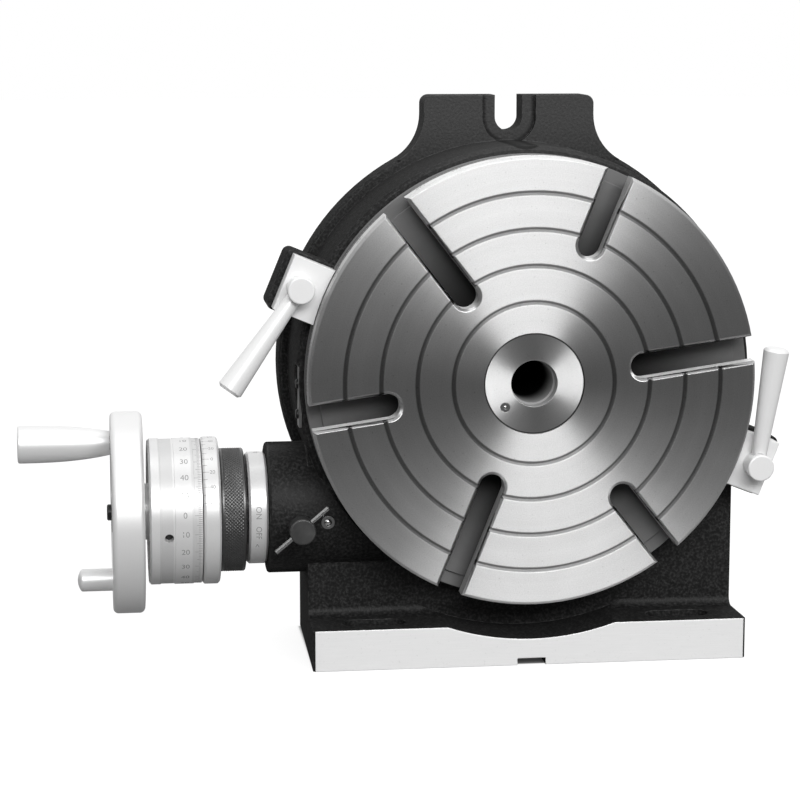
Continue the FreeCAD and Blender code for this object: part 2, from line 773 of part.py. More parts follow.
def make_worm_shaft():
    """The shaft is turned, and its thread is a trapezium carried along a helix."""
    m = size("tooth_module").number
    lead = math.pi * m
    tip, root = thread_tip.number, size("worm_core_radius").number
    slope = math.tan(math.radians(PRESSURE_ANGLE))
    half = (lead / 2 - size("tooth_play").number) / 2
    turns = round(size("thread_half_length").number / lead)
    start = -turns * lead
    pitch_r = size("worm_pitch_radius").number
    section = []
    sunk = root - size("running_gap").number
    for radius, side in ((sunk, -1), (tip, -1), (tip, 1), (sunk, 1)):
        across = half - (radius - pitch_r) * slope
        section.append(FreeCAD.Vector(radius, 0, side * across))
    helix = Part.makeHelix(lead, 2 * turns * lead, pitch_r)
    ridge = Part.Wire(helix.Edges).makePipeShell([Part.makePolygon(section + section[:1])], True, True)
    thread = plain("worm_thread", ridge, (start, worm_y, worm_z), FreeCAD.Vector(0, 1, 0), QUARTER)
    journal, tail = size("worm_journal_radius"), size("worm_tail_radius")
    neck, core = size("worm_neck_radius"), size("worm_core_radius")
    wall = size("thrust_wall_right") + size("thrust_washer_thick")
    right, edge, stub = size("eccentric_right"), size("nut_edge"), size("shaft_radius")
    nut_left = worm_nut_left()
    end = size("wheel_left") + size("washer_thick") + edge
    corners = [(end, 0), (right, 0), (right, tail - edge), (right - edge, tail),
               (size("worm_relief_right"), tail), (size("worm_relief_right"), core),
               (size("worm_relief_left"), core), (size("worm_journal_end"), journal), (wall, journal),
               (wall, neck), (nut_left, neck), (nut_left, stub), (end + edge, stub), (end, stub - edge)]
    shaft = turned("worm_bar", corners, "H_Axis", (0, worm_y, worm_z))
    whole = fused("worm_with_thread", [shaft, thread])
    tap = along_x("worm_tapping", size("m6_radius") + fit, end - over, end + size("axis_screw_length"),
                  worm_y, worm_z)
    key = size("key_width") / 2 + fit
    top = worm_z + size("shaft_radius")
    seat = block("worm_keyway", (key_left(), worm_y - key, top - size("key_seat_depth")),
                 (key_left() + size("key_length"), worm_y + key, top + over))
    node("worm_shaft", cut("worm_shaft", whole, [tap, seat]))


def worm_nut_left():
    """The left face of the worm's adjusting nut, which follows from the bearing beside it."""
    bearing = size("worm_race_thick") * 2 + size("worm_ball_radius") * 2
    return size("vernier_left") - bearing - size("worm_nut_thick")


def key_left():
    """The left end of the handwheel's key."""
    return size("wheel_left") + size("key_inset")


def make_worm_bearings():
    """Inner thrust washer, end bush, and outside the sleeve two races, balls and the adjusting nut."""
    wall = size("thrust_wall_right")
    spot = (0, worm_y, worm_z)
    neck = size("worm_neck_radius") + fit
    bore = size("worm_bore_radius")
    washer = ring_profile(wall, wall + size("thrust_washer_thick"), neck, bore - gap, size("race_edge"))
    node("worm_thrust_washer", turned("worm_thrust_washer", washer, "H_Axis", spot))
    right = size("eccentric_right")
    bush = ring_profile(right - size("end_bush_length"), right, size("worm_tail_radius") + fit,
                        bore - fit, size("race_edge"))
    node("worm_end_bush", turned("worm_end_bush", bush, "H_Axis", spot))
    t, outer = size("worm_race_thick"), size("worm_race_outer")
    ball = size("worm_ball_radius")
    first = size("vernier_left") - t
    second = first - ball * 2 - t
    inner_race = ring_profile(first, first + t, neck + gap, outer, size("race_edge"))
    outer_race = ring_profile(second, second + t, neck, outer, size("race_edge"))
    node("worm_race_fixed", turned("worm_race_fixed", inner_race, "H_Axis", spot))
    node("worm_race_turning", turned("worm_race_turning", outer_race, "H_Axis", spot))
    balls = []
    circle = (neck + outer) / 2
    for n in range(WORM_BALLS):
        y, z = on_circle(circle, spaced(WORM_BALLS, n))
        piece = doc.addObject("Part::Sphere", "worm_ball_%d" % (n + 1))
        bind(piece, "Radius", ball)
        place(piece, (first - ball, worm_y + y, worm_z + z))
        balls.append(piece)
    node("worm_thrust_balls", group("worm_thrust_balls", balls))
    nut = ring_profile(second - size("worm_nut_thick"), second, neck, size("worm_nut_radius"),
                       size("small_edge"))
    blank = turned("worm_nut_blank", nut, "H_Axis", spot)
    radius = size("worm_nut_radius")
    notches = []
    half = size("worm_notch_width") / 2
    for n, (dy, dz) in enumerate(((1, 0), (-1, 0), (0, 1), (0, -1))):
        y, z = worm_y + radius * dy, worm_z + radius * dz
        notches.append(block("worm_nut_notch_%d" % (n + 1),
                             (second - size("worm_nut_thick") - over, y - half, z - half),
                             (second + over, y + half, z + half)))
    node("worm_adjusting_nut", cut("worm_adjusting_nut", blank, notches))


def make_eccentric_sleeve():
    """The long sleeve turns in the body. Its bore lies off its axis, so a part turn draws the worm out of
    the wheel. A window leaves only the trough below the worm open to the wheel."""
    left, right = size("collar_left"), size("eccentric_right")
    shoulder = size("boss_left") - gap
    outer = [along_x("sleeve_round", size("eccentric_radius") - size("sleeve_play"), shoulder, right,
                     eccentric_y, worm_z),
             along_x("sleeve_neck", size("neck_radius"), size("neck_left"), shoulder, worm_y, worm_z),
             along_x("sleeve_spigot", size("spigot_radius"), size("vernier_left"), shoulder, worm_y, worm_z)]
    wall = size("thrust_wall_right")
    window = size("eccentric_window")
    tools = [along_x("sleeve_worm_bore", size("worm_bore_radius"), wall, right + over, worm_y, worm_z),
             along_x("sleeve_neck_bore", size("worm_neck_radius") + fit, size("vernier_left") - over,
                     wall + over, worm_y, worm_z)]
    far = size("eccentric_radius") * 2
    opening = [on_circle(far, as_measure(angle)) for angle in WINDOW_ANGLES]
    sector = padded("sleeve_window", "YZ_Plane", [(0, 0)] + opening, window * 2, True,
                    at=(0, eccentric_y, worm_z))
    whole = fused("sleeve_blank_round", outer)
    node("eccentric_sleeve", cut("eccentric_sleeve", whole, tools + [sector]))


def make_engage_collar():
    """The bright collar with the ON and OFF marks, held on the sleeve by a grub screw."""
    collar = ring_profile(size("collar_left"), size("boss_left") - gap, 0, size("collar_radius"),
                          size("ring_edge"))
    blank = turned("collar_blank", collar, "H_Axis", (0, eccentric_y, worm_z))
    bore = along_x("collar_bore", size("neck_radius") + fit, size("collar_left") - over,
                   size("boss_left") + over, worm_y, worm_z)
    middle = (size("collar_left") + size("boss_left")) / 2
    top = worm_z + size("collar_radius")
    tapping = along_z("collar_tapping", size("small_screw_radius") + fit, worm_z, top + over, middle,
                      eccentric_y)
    node("engage_collar", cut("engage_collar", blank, [bore, tapping]))
    # The neck lies off the collar's axis, so its top under the screw's near edge follows from the throw.
    shank, neck = size("small_screw_radius"), size("neck_radius") + fit
    off = size("eccentric_throw") - shank
    low = worm_z + (neck * neck - off * off).root()
    grub = along_z("collar_screw", shank, low, top - size("collar_screw_sink"), middle, eccentric_y)
    node("collar_screw", grub)


def make_rings():
    """Lock ring and vernier on the sleeve's spigot, and the graduated drum on the handwheel's hub."""
    spot = (0, worm_y, worm_z)
    edge = size("ring_edge")
    bore = size("spigot_radius") + fit
    lock = ring_profile(size("lock_ring_left") + gap, size("neck_left"), bore, size("lock_ring_radius"), edge)
    node("knurled_lock_ring", turned("knurled_lock_ring", lock, "H_Axis", spot))
    vernier = ring_profile(size("vernier_left") + gap, size("lock_ring_left"), bore,
                           size("vernier_radius"), edge)
    node("vernier_ring", turned("vernier_ring", vernier, "H_Axis", spot))
    left, right, radius = size("drum_left"), size("vernier_left") - gap, size("drum_radius")
    inner = radius - size("drum_wall")
    web_left, web_right = size("drum_web_left"), size("drum_web_left") + size("drum_web_thick")
    hub = size("wheel_hub_radius") + fit
    low = radius - size("drum_band_depth")
    corners = [(web_left, hub), (web_right, hub), (web_right, inner), (right, inner), (right, low),
               (size("drum_scale_left"), low), (size("drum_scale_left"), radius),
               (size("drum_band_right"), radius), (size("drum_band_right"), low),
               (size("drum_band_left"), low), (size("drum_band_left"), radius), (left + edge, radius),
               (left, radius - edge), (left, inner), (web_left, inner)]
    blank = turned("drum_blank", corners, "H_Axis", spot)
    hole = drum_screw_bar("drum_tapping", size("drum_screw_radius") + fit, radius + over,
                          size("wheel_hub_radius") - over)
    node("dial_drum", cut("dial_drum", blank, [hole]))
    screw = drum_screw_bar("dial_set_screw", size("drum_screw_radius"), radius - size("drum_screw_sink"),
                           size("wheel_hub_radius") + gap)
    node("dial_set_screw", screw)


def drum_screw_bar(label, radius, start, end):
    """A bar that points at the worm's axis through the drum's web, from one radius in to another."""
    angle = size("drum_screw_angle")
    middle = size("drum_web_left") + size("drum_web_thick") / 2
    at = (middle, worm_y - start * angle.cosine(), worm_z - start * angle.sine())
    return cylinder(label, radius, start - end, at, BACKWARDS, as_measure(QUARTER) - angle)


def make_handwheel():
    """A dished cast wheel with a round rim, a long hub and two bosses."""
    left, right, radius = size("wheel_left"), size("wheel_right"), size("handwheel_radius")
    rim, web, hub = size("rim_thick"), size("web_thick"), size("wheel_hub_radius")
    middle = (left + right) / 2
    round_, lip, inner = size("rim_round"), size("rim_lip"), radius - rim
    face = left + size("washer_thick")
    corners = [(face, size("shaft_radius") + fit), (size("wheel_hub_right"), size("shaft_radius") + fit),
               (size("wheel_hub_right"), hub), (middle + web / 2, hub),
               (middle + web / 2, inner), (right, inner + lip), (right, radius - round_, round_),
               (right - round_, radius), (left + round_, radius, round_), (left, radius - round_),
               (left, inner + lip), (middle - web / 2, inner),
               (middle - web / 2, hub + size("hub_flare")), (face, hub)]
    blank = turned("handwheel_blank", corners, "H_Axis", (0, worm_y, worm_z))
    handle_z, peg_z = worm_z + handle_throw, worm_z - peg_throw
    boss, thread = size("handle_boss_radius"), size("handle_thread_radius") + fit
    bosses = [along_x("handle_boss", boss, left, middle, worm_y, handle_z),
              along_x("peg_boss", boss, left + size("handle_edge"), middle, worm_y, peg_z)]
    whole = fused("handwheel_cast", [blank] + bosses)
    holes = [along_x("handle_tapping", thread, left - over, right, worm_y, handle_z),
             along_x("peg_tapping", thread, left - over, right, worm_y, peg_z)]
    key = size("key_width") / 2 + fit
    top = worm_z + size("shaft_radius")
    keyway = block("handwheel_keyway", (left - over, worm_y - key, worm_z),
                   (size("wheel_hub_right") + over, worm_y + key, top + key))
    node("handwheel", cut("handwheel", whole, holes + [keyway]))
    half_key = size("key_width") / 2
    node("handwheel_key", block("handwheel_key", (key_left(), worm_y - half_key, top - half_key),
                                (key_left() + size("key_length"), worm_y + half_key, top + half_key)))


def make_handwheel_fittings():
    """The screw on the axis, the turning handle on its shoulder screw, and the short fixed peg."""
    left = size("wheel_left")
    middle = (size("wheel_left") + size("wheel_right")) / 2
    head, socket = size("wheel_screw_radius"), size("wheel_screw_radius") / 2
    tip, edge = left - size("wheel_screw_head"), size("small_edge")
    floor, end = tip + size("wheel_screw_head") / 2, left + size("axis_screw_length")
    corners = [(floor, 0), (floor, socket), (tip, socket), (tip, head - edge), (tip + edge, head),
               (left, head), (left, size("m6_radius")), (end, size("m6_radius")), (end, 0)]
    node("handwheel_screw", turned("handwheel_screw", corners, "H_Axis", (0, worm_y, worm_z)))
    washer = ring_profile(left, left + size("washer_thick"), size("m6_radius") + fit,
                          size("washer_radius"), size("race_edge"))
    node("handwheel_washer", turned("handwheel_washer", washer, "H_Axis", (0, worm_y, worm_z)))
    handle_z = worm_z + handle_throw
    end, root, round_ = size("handle_left"), left - gap, size("handle_edge")
    big, small, axle = size("handle_big_radius"), size("handle_small_radius"), size("handle_axle_radius")
    bore, thread, head = axle + fit, size("handle_thread_radius"), size("handle_screw_head")
    sink, waist = end + size("handle_sink_depth"), size("handle_waist")
    third = (root - end) / 3
    corners = [(sink, bore), (root, bore), (root, small), (root - third, (big + small) / 2 - waist),
               (end + third, big - waist), (end + round_, big), (end, big - round_), (end, head + gap),
               (sink, head + gap)]
    node("crank_handle", turned("crank_handle", corners, "H_Axis", (0, worm_y, handle_z)))
    start, seat = end + size("handle_screw_sink"), sink - gap
    corners = [(start, 0), (start, head), (seat, head), (seat, axle), (left, axle), (left, thread),
               (middle, thread), (middle, 0)]
    node("crank_handle_axle", turned("crank_handle_axle", corners, "H_Axis", (0, worm_y, handle_z)))
    peg, start = size("peg_radius"), size("peg_left")
    dome = size("peg_dome")
    dome_radius = (peg * peg + dome * dome) / (dome * 2)
    corners = [(start, 0, -dome_radius), (start + dome, peg), (left + round_, peg), (left + round_, thread),
               (middle, thread), (middle, 0)]
    node("finger_peg", turned("finger_peg", corners, "H_Axis", (0, worm_y, worm_z - peg_throw)))


def make_body_casting():
    """An angle body: a round drum behind the table, a wide foot block, a slotted lug on top, the worm
    housing at the left and a pad for each rim clamp."""
    depth, wall = size("body_depth"), size("wall_front")
    half, fillet = size("half_width"), size("ledge_fillet")
    outer, bevel, land = size("drum_casting_radius"), size("drum_bevel"), size("drum_front")
    flange_front = depth - size("lug_thick")
    drum = turned("casting_drum", [(0, way_front), (size("way_outer"), way_front), (size("way_outer"), land),
                                   (outer - bevel, land), (outer, land + bevel), (outer, depth), (0, depth)],
                  "V_Axis")
    flange, edge = size("flange_radius"), size("flange_bevel")
    disc = turned("casting_flange", [(0, flange_front), (flange - edge, flange_front),
                                     (flange, flange_front + edge), (flange, depth), (0, depth)], "V_Axis")
    back_plate = cut("casting_back_plate", fused("casting_back_solid", [disc, make_lug(depth)]),
                     lug_spot(flange_front))
    front, wall_top = size("foot_front"), size("wall_top")
    corners = [(front, floor_z), (depth, floor_z), (depth, wall_top), (wall, wall_top),
               (wall, ledge_z + fillet, -fillet), (wall - fillet, ledge_z), (front, ledge_z)]
    angle_block = padded("casting_angle", "YZ_Plane", corners, half * 2, True)
    scoop = along_y("foot_scoop", size("scoop_radius"), front - over, wall)
    wedges = [side_wedge("left_draft", -1), side_wedge("right_draft", 1)]
    foot = cut("casting_foot", angle_block, [scoop] + wedges)
    left, boss_r, round_ = size("boss_left"), size("boss_radius"), size("boss_round")
    corners = [(left, 0), (size("boss_reach") + boss_r / 2, 0), (size("boss_reach"), boss_r),
               (left + round_, boss_r, round_), (left, boss_r - round_)]
    boss = turned("casting_boss", corners, "H_Axis", (0, eccentric_y, worm_z))
    pads = [clamp_pad(side + "_pad", size(side + "_clamp_angle")) for side in ("left", "right")]
    whole = fused("casting_solid", [drum, foot, back_plate, boss] + pads)
    node("body_casting", cut("body_casting", whole, body_tools()))


def side_wedge(label, side):
    """What the draft takes off one side of the foot, from its bevelled front corner to its back."""
    half, corner, front = size("half_width"), size("foot_corner"), size("foot_front")
    back, away = size("body_depth") + over, half + reach
    plan = [(half - corner, front - over), (half - corner, front), (half, front + corner),
            (half - size("side_draft"), back), (away, back), (away, front - over)]
    return padded(label, "XY_Plane", [(x * side, y) for x, y in plan], size("wall_top") - floor_z + over * 2,
                  at=(0, 0, floor_z - over))


def make_lug(depth):
    """The lug's sides run down in hollow curves that touch both its flank and the flange."""
    wide, top, corner = size("lug_half_width"), size("lug_top"), size("lug_corner")
    blend, flange = size("lug_blend"), size("flange_radius")
    centre_x = wide + blend
    far = flange + blend
    centre_z = (far * far - centre_x * centre_x).root()
    foot_x, foot_z = centre_x * flange / far, centre_z * flange / far
    right = [(wide - corner, top, -corner), (wide, top - corner), (wide, centre_z, blend), (foot_x, foot_z)]
    left = [(-foot_x, foot_z, blend), (-wide, centre_z), (-wide, top - corner, -corner),
            (-(wide - corner), top)]
    return padded("casting_lug", "XZ_Plane", right + left, size("lug_thick"), at=(0, depth, 0))


def lug_spot(front):
    """The shallow seat for a washer round the lug's slot, cut before the drum is joined on."""
    spot = size("lug_spot_radius")
    slot_z = size("lug_slot_bottom") + size("bolt_slot_width") / 2
    back = front + size("lug_spot_depth")
    return [along_y("lug_spot_end", spot, front - over, back, 0, slot_z),
            block("lug_spot_run", (-spot, front - over, slot_z), (spot, back, size("lug_top") + over))]


def clamp_pad(label, angle):
    """A pad on the drum's edge under one rim clamp, its outer corners rounded."""
    inner, outer = size("pad_inner"), size("pad_outer")
    half, corner = size("pad_half_width"), size("pad_corner")
    corners = [(inner, -half), (outer - corner, -half, corner), (outer, -half + corner),
               (outer, half - corner, corner), (outer - corner, half), (inner, half)]
    body = padded(label, "XZ_Plane", corners, size("pad_back") - size("pad_front"))
    return place(body, (0, size("pad_back"), 0), LEFTWARDS, angle)


def body_tools():
    """Everything that is cut out of the casting."""
    depth = size("body_depth")
    chamber, front, back = size("chamber_radius"), size("chamber_front"), size("chamber_back")
    cover_front = depth - gap - size("cover_thick")
    rear = size("rear_wall_back")
    bore = size("journal_radius") + fit
    hub, open_front = size("hub_radius") + size("clear_of_table"), way_front - reach
    nut_room = size("nut_chamber_radius")
    hollow = turned("body_hollow", [(0, open_front), (hub, open_front), (hub, front), (chamber, front),
                                    (chamber, back), (bore, back), (bore, rear), (nut_room, rear),
                                    (nut_room, cover_front),
                                    (size("cover_radius") + gap, cover_front),
                                    (size("cover_radius") + gap, depth + over), (0, depth + over)],
                    "V_Axis")
    tools = [hollow]
    tools.append(along_y("table_clearance", size("table_radius") + size("clear_of_table"), 0,
                         way_front))
    tools.append(along_x("sleeve_housing", size("eccentric_radius"), size("boss_left") - over,
                         size("eccentric_right") + gap, eccentric_y, worm_z))
    width = size("bolt_slot_width") / 2
    slot_z = size("lug_slot_bottom") + width
    lug_front = depth - size("lug_thick") - over
    tools.append(along_y("lug_slot_end", width, lug_front, depth + over, 0, slot_z))
    tools.append(block("lug_slot_run", (-width, lug_front, slot_z),
                       (width, depth + over, size("lug_top") + over)))
    key, low, high = size("key_slot_width") / 2, floor_z - over, ledge_z + over
    tools.append(block("key_slot", (-key, size("foot_front") - over, low),
                       (key, depth + over, floor_z + size("key_slot_depth"))))
    slot_half = size("foot_slot_width") / 2
    straight = size("foot_slot_length") / 2 - slot_half
    y = size("foot_slot_depth_place")
    for name, side in (("left", -1), ("right", 1)):
        middle = size("foot_slot_offset") * side
        tools.append(along_z(name + "_foot_slot_a", slot_half, low, high, middle - straight, y))
        tools.append(along_z(name + "_foot_slot_b", slot_half, low, high, middle + straight, y))
        tools.append(block(name + "_foot_slot_run", (middle - straight, y - slot_half, low),
                           (middle + straight, y + slot_half, high)))
        x, z = on_circle(size("clamp_radius"), size(name + "_clamp_angle"))
        tools.append(along_y(name + "_stud_hole", size("stud_radius") + fit, size("pad_front") - over,
                             size("stud_end") + over, x, z))
    screw_z = worm_z - size("lock_screw_drop")
    tools.append(along_y("lock_screw_hole", size("lock_screw_radius") + fit, boss_front - reach, eccentric_y,
                         size("lock_screw_place"), screw_z))
    tools.append(along_y("housing_oiler_hole", size("housing_oiler_radius") + fit, boss_front - reach,
                         boss_front + size("oiler_depth"), size("housing_oiler_place"), housing_oiler_z))
    face, thread = -size("index_plate_face"), size("small_screw_radius") + fit
    tapping = size("small_screw_length") + over
    tools.append(block("index_flat", (face - reach * 2, size("index_plate_front"),
                                      size("index_plate_bottom") - over),
                       (face, size("index_plate_back") + over, size("index_plate_top") + over)))
    for n, z in enumerate(index_screw_heights()):
        tools.append(along_x("index_tapping_%d" % (n + 1), thread, face - over, face + tapping,
                             index_screw_y(), z))
    for n in range(COVER_SCREWS):
        x, z = cover_screw_spot(n)
        tools.append(along_y("cover_tapping_%d" % (n + 1), thread, cover_front - tapping, cover_front + over,
                             x, z))
    return tools


def index_screw_heights():
    """Two screws hold the index plate, one near each end."""
    return (size("index_screw_high"), size("index_screw_low"))


def index_screw_y():
    """The plate's middle, front to back."""
    return (size("index_plate_front") + size("index_plate_back")) / 2


def make_index_plate():
    """The small plate with the zero line, on a flat milled into the drum's edge."""
    face = -size("index_plate_face")
    left = face - size("index_plate_thick")
    blank = block("index_blank", (left, size("index_plate_front") + gap, size("index_plate_bottom")),
                  (face, size("index_plate_back"), size("index_plate_top")))
    holes, screws = [], []
    shank, rim, edge = size("small_screw_radius"), size("small_head_radius"), size("small_edge")
    head, end = left - size("small_head_thick"), face + size("small_screw_length")
    corners = [(head, 0), (head, rim - edge), (head + edge, rim), (left, rim), (left, shank), (end, shank),
               (end, 0)]
    for n, z in enumerate(index_screw_heights()):
        holes.append(along_x("index_hole_%d" % (n + 1), shank + size("clear_hole"), left - over,
                             face + over, index_screw_y(), z))
        screws.append(turned("index_screw_%d" % (n + 1), corners, "H_Axis", (0, index_screw_y(), z)))
    node("index_plate", cut("index_plate", blank, holes))
    node("index_plate_screws", group("index_plate_screws", screws))


def make_clamp(side, angle, lever_angle):
    """One rim clamp: a dog whose lip lies in the rim groove, a headed stud and a lever under its head."""
    x, z = on_circle(size("clamp_radius"), angle)
    half, radius = size("dog_half_width"), size("table_radius")
    front, back = size("dog_front"), size("dog_back")
    base = block(side + "_dog_block", (size("rim_groove_radius"), front, -half),
                 (size("dog_outer"), back, half))
    turned_dog = spun_about_y(base, angle)
    rim_front = along_y(side + "_rim_front", radius + gap, 0, size("dog_lip_front"))
    rim_back = along_y(side + "_rim_back", radius + gap, size("dog_lip_front") + size("dog_lip_thick"),
                       back + over)
    core = along_y(side + "_rim_core", size("dog_lip_reach"), 0, back + over)
    hole = along_y(side + "_dog_hole", size("stud_radius") + gap, 0, back + over, x, z)
    node(side + "_clamp_dog", cut(side + "_clamp_dog", turned_dog, [rim_front, rim_back, core, hole]))
    head, shank = size("stud_head_radius"), size("stud_radius")
    thick, end, edge = size("stud_head_thick"), size("stud_end"), size("small_edge")
    corners = [(0, 0), (head - edge, 0), (head, edge), (head, thick), (shank, thick), (shank, end - edge),
               (shank - edge, end), (0, end)]
    node(side + "_clamp_stud", turned(side + "_clamp_stud", corners, "V_Axis", (x, 0, z)))
    hub_back, round_ = size("lever_hub_back"), size("lever_round")
    middle = (thick + hub_back) / 2
    hub = along_y(side + "_lever_hub", size("lever_hub_radius"), thick, hub_back, x, z)
    length, big, small = size("lever_length"), size("lever_big_radius"), size("lever_small_radius")
    section = [(0, 0), (0, small), (length - round_, big), (length, big - round_), (length, 0)]
    # The arm leans forwards, so that its back clears the dog, and is then turned about the stud.
    bar = turned(side + "_lever_bar", section, "H_Axis", (0, 0, 0), FreeCAD.Vector(0, 0, -1),
                 size("lever_tilt"))
    arm = place(group(side + "_lever_arm", [bar]), (x, middle, z), LEFTWARDS, lever_angle)
    lever = fused(side + "_lever_solid", [hub, arm])
    bore = along_y(side + "_lever_bore", shank + fit, 0, hub_back + over, x, z)
    top = along_y(side + "_lever_top", head + gap, -reach, thick, x, z)
    node(side + "_clamp_lever", cut(side + "_clamp_lever", lever, [bore, top]))


def make_sleeve_lock():
    """The black screw that clamps the eccentric sleeve, its brass pad and its sliding tommy bar."""
    x, z = size("lock_screw_place"), worm_z - size("lock_screw_drop")
    front = size("lock_screw_head_front")
    back = front + size("lock_screw_head_thick")
    head, shank = size("lock_screw_head_radius"), size("lock_screw_radius")
    drop, outer = size("lock_screw_drop"), size("eccentric_radius")
    sleeve_front = eccentric_y - (outer * outer - drop * drop).root()
    pad_front = sleeve_front - size("lock_pad_thick") - gap
    edge = size("small_edge")
    corners = [(0, front), (head - edge, front), (head, front + edge), (head, back - edge),
               (head - edge, back), (shank, back), (shank, pad_front - gap), (0, pad_front - gap)]
    blank = turned("lock_screw_blank", corners, "V_Axis", (x, 0, z))
    half, angle = size("tommy_half_length"), size("tommy_angle")
    end_x, end_z = on_circle(half, angle)
    start = (x - end_x, (front + back) / 2, z - end_z)
    lean = as_measure(QUARTER) - angle
    hole = cylinder("tommy_hole", size("tommy_radius") + fit, half * 2, start, FreeCAD.Vector(0, 1, 0), lean)
    node("sleeve_lock_screw", cut("sleeve_lock_screw", blank, [hole]))
    bar = cylinder("tommy_bar", size("tommy_radius"), half * 2, start, FreeCAD.Vector(0, 1, 0), lean)
    node("tommy_bar", bar)
    pad_back = pad_front + size("lock_pad_thick")
    node("lock_screw_pad", along_y("lock_screw_pad", shank, pad_front, pad_back, x, z))


def check_and_write():
    """Refuse a failed or broken object, and write each sub-part to its own file."""
    doc.recompute()
    for thing in doc.Objects:
        if "Invalid" in thing.State or "Error" in thing.State:
            raise RuntimeError("failed: %s %s" % (thing.Label, thing.State))
    os.makedirs("parts", exist_ok=True)
    for name, piece in NODES.items():
        shape = piece.Shape
        if shape.isNull() or not shape.isValid() or not shape.Solids:
            raise RuntimeError("no sound solid in " + name)
        shape.exportStep(os.path.join("parts", name + ".step"))
        print("%-22s solids %2d  volume %10.1f" % (name, len(shape.Solids), shape.Volume))
    print("nodes", len(NODES))


make_table_plate()
make_spindle_sleeve()
make_oiler("spindle_oiler", size("spindle_oiler_radius"), size("spindle_oiler_x"), size("spindle_oiler_z"),
           size("insert_recess"))
make_worm_wheel()
make_worm_wheel_screws()
make_rear_bearing()
make_rear_cover()
make_worm_shaft()
make_worm_bearings()
make_eccentric_sleeve()
make_engage_collar()
make_rings()
make_handwheel()
make_handwheel_fittings()
make_body_casting()
make_oiler("housing_oiler", size("housing_oiler_radius"), size("housing_oiler_place"), housing_oiler_z,
           boss_front)
make_index_plate()
make_clamp("left", size("left_clamp_angle"), size("left_lever_angle"))
make_clamp("right", size("right_clamp_angle"), size("right_lever_angle"))
make_sleeve_lock()
check_and_write()
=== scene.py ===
import math

import bmesh
import bpy
import numpy as np
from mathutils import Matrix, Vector


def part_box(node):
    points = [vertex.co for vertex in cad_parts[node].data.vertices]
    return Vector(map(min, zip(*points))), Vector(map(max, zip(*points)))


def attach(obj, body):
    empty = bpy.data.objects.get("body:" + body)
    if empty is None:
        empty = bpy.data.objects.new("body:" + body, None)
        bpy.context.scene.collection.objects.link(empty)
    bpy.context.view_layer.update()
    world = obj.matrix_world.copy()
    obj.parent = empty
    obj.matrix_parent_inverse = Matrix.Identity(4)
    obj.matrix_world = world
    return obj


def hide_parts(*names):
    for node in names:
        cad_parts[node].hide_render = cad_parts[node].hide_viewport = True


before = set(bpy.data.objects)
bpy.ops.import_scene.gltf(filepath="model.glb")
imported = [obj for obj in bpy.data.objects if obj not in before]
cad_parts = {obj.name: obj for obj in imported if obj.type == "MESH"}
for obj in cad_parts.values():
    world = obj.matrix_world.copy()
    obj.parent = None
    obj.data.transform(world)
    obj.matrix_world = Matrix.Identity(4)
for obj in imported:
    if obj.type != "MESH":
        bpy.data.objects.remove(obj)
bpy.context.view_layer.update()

# The visual model of a rotary indexing table. Everything is in metres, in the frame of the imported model:
# the origin is the centre of the table's face, X runs right along the worm, Y goes back, Z is up.

MM = 0.001

# Places of the two main axes: the table turns about Y through the origin, the worm about X.
TABLE_AXIS = (0.0, 0.0, 0.0)
WORM_AXIS = (0.0, 58 * MM, -78 * MM)
COLLAR_AXIS = (0.0, 62 * MM, -78 * MM)
FLOOR_Z = -160 * MM
TABLE_R = 125 * MM
INSERT_R = 27.75 * MM
BORE_R = 13.3 * MM

# The T-slots: the first one's angle in degrees, the angle from one to the next, and half a slot's width
# where it is widest.
FIRST_SLOT = 8.0
SLOT_STEP = 60.0
SLOT_HALF = 11.5 * MM

# Radii of the four grooves in the table's face, and half a groove's width.
FACE_GROOVES = [45 * MM, 65 * MM, 85 * MM, 105 * MM]
GROOVE_HALF = 1.5 * MM

# The foot's footprint, and the spot face round the lug's slot.
FOOT_HALF_X = 124 * MM
FOOT_HALF_Y = 53 * MM
FOOT_MIDDLE_Y = 56 * MM
LUG_SLOT_Z = 142.5 * MM
SPOT_FACE_R = 15.5 * MM

# The graduated pieces: radius of the dial's lines, of its numbers, of the vernier and of the collar.
DIAL_LINES_R = 41.15 * MM
DIAL_R = 41.5 * MM
VERNIER_R = 41.9 * MM
COLLAR_R = 32.0 * MM
LINE_WIDE = 0.24 * MM

# How far marks stand out of the metal and reach into it.
INK_OUT = 0.02 * MM
INK_DEEP = 0.08 * MM

# Camera, at the photograph's viewing place. The aim is a point in the plane of the table's face.
CAMERA_PLACE = (-0.24237, -1.30919, 0.20213)
CAMERA_AIM = (-0.07475, 0.0, -0.00754)
CAMERA_LENS = 109.88
SENSOR = 36.0

# How bright the studio is in front of the table, below eye level and above it. White is 1.
STUDIO_DIM = 0.12
STUDIO_HIGH = 0.8


# Wiring of node trees

def put(tree, kind, inputs=None, **settings):
    """Add a node. Each input is a plain value, or another node's socket to link."""
    made = tree.nodes.new(kind)
    for key, value in settings.items():
        setattr(made, key, value)
    for key, value in (inputs or {}).items():
        if isinstance(value, bpy.types.NodeSocket):
            tree.links.new(value, made.inputs[key])
        else:
            made.inputs[key].default_value = value
    return made


def calc(tree, operation, first, second=0.0, third=0.0):
    """One sum on numbers or sockets."""
    return put(tree, "ShaderNodeMath", {0: first, 1: second, 2: third}, operation=operation).outputs[0]


def spread(tree, value, low, high, to_low=0.0, to_high=1.0):
    """Carry a value from one span to another, smoothly and without leaving it."""
    return put(tree, "ShaderNodeMapRange", {"Value": value, "From Min": low, "From Max": high,
                                            "To Min": to_low, "To Max": to_high},
               interpolation_type="SMOOTHSTEP").outputs["Result"]


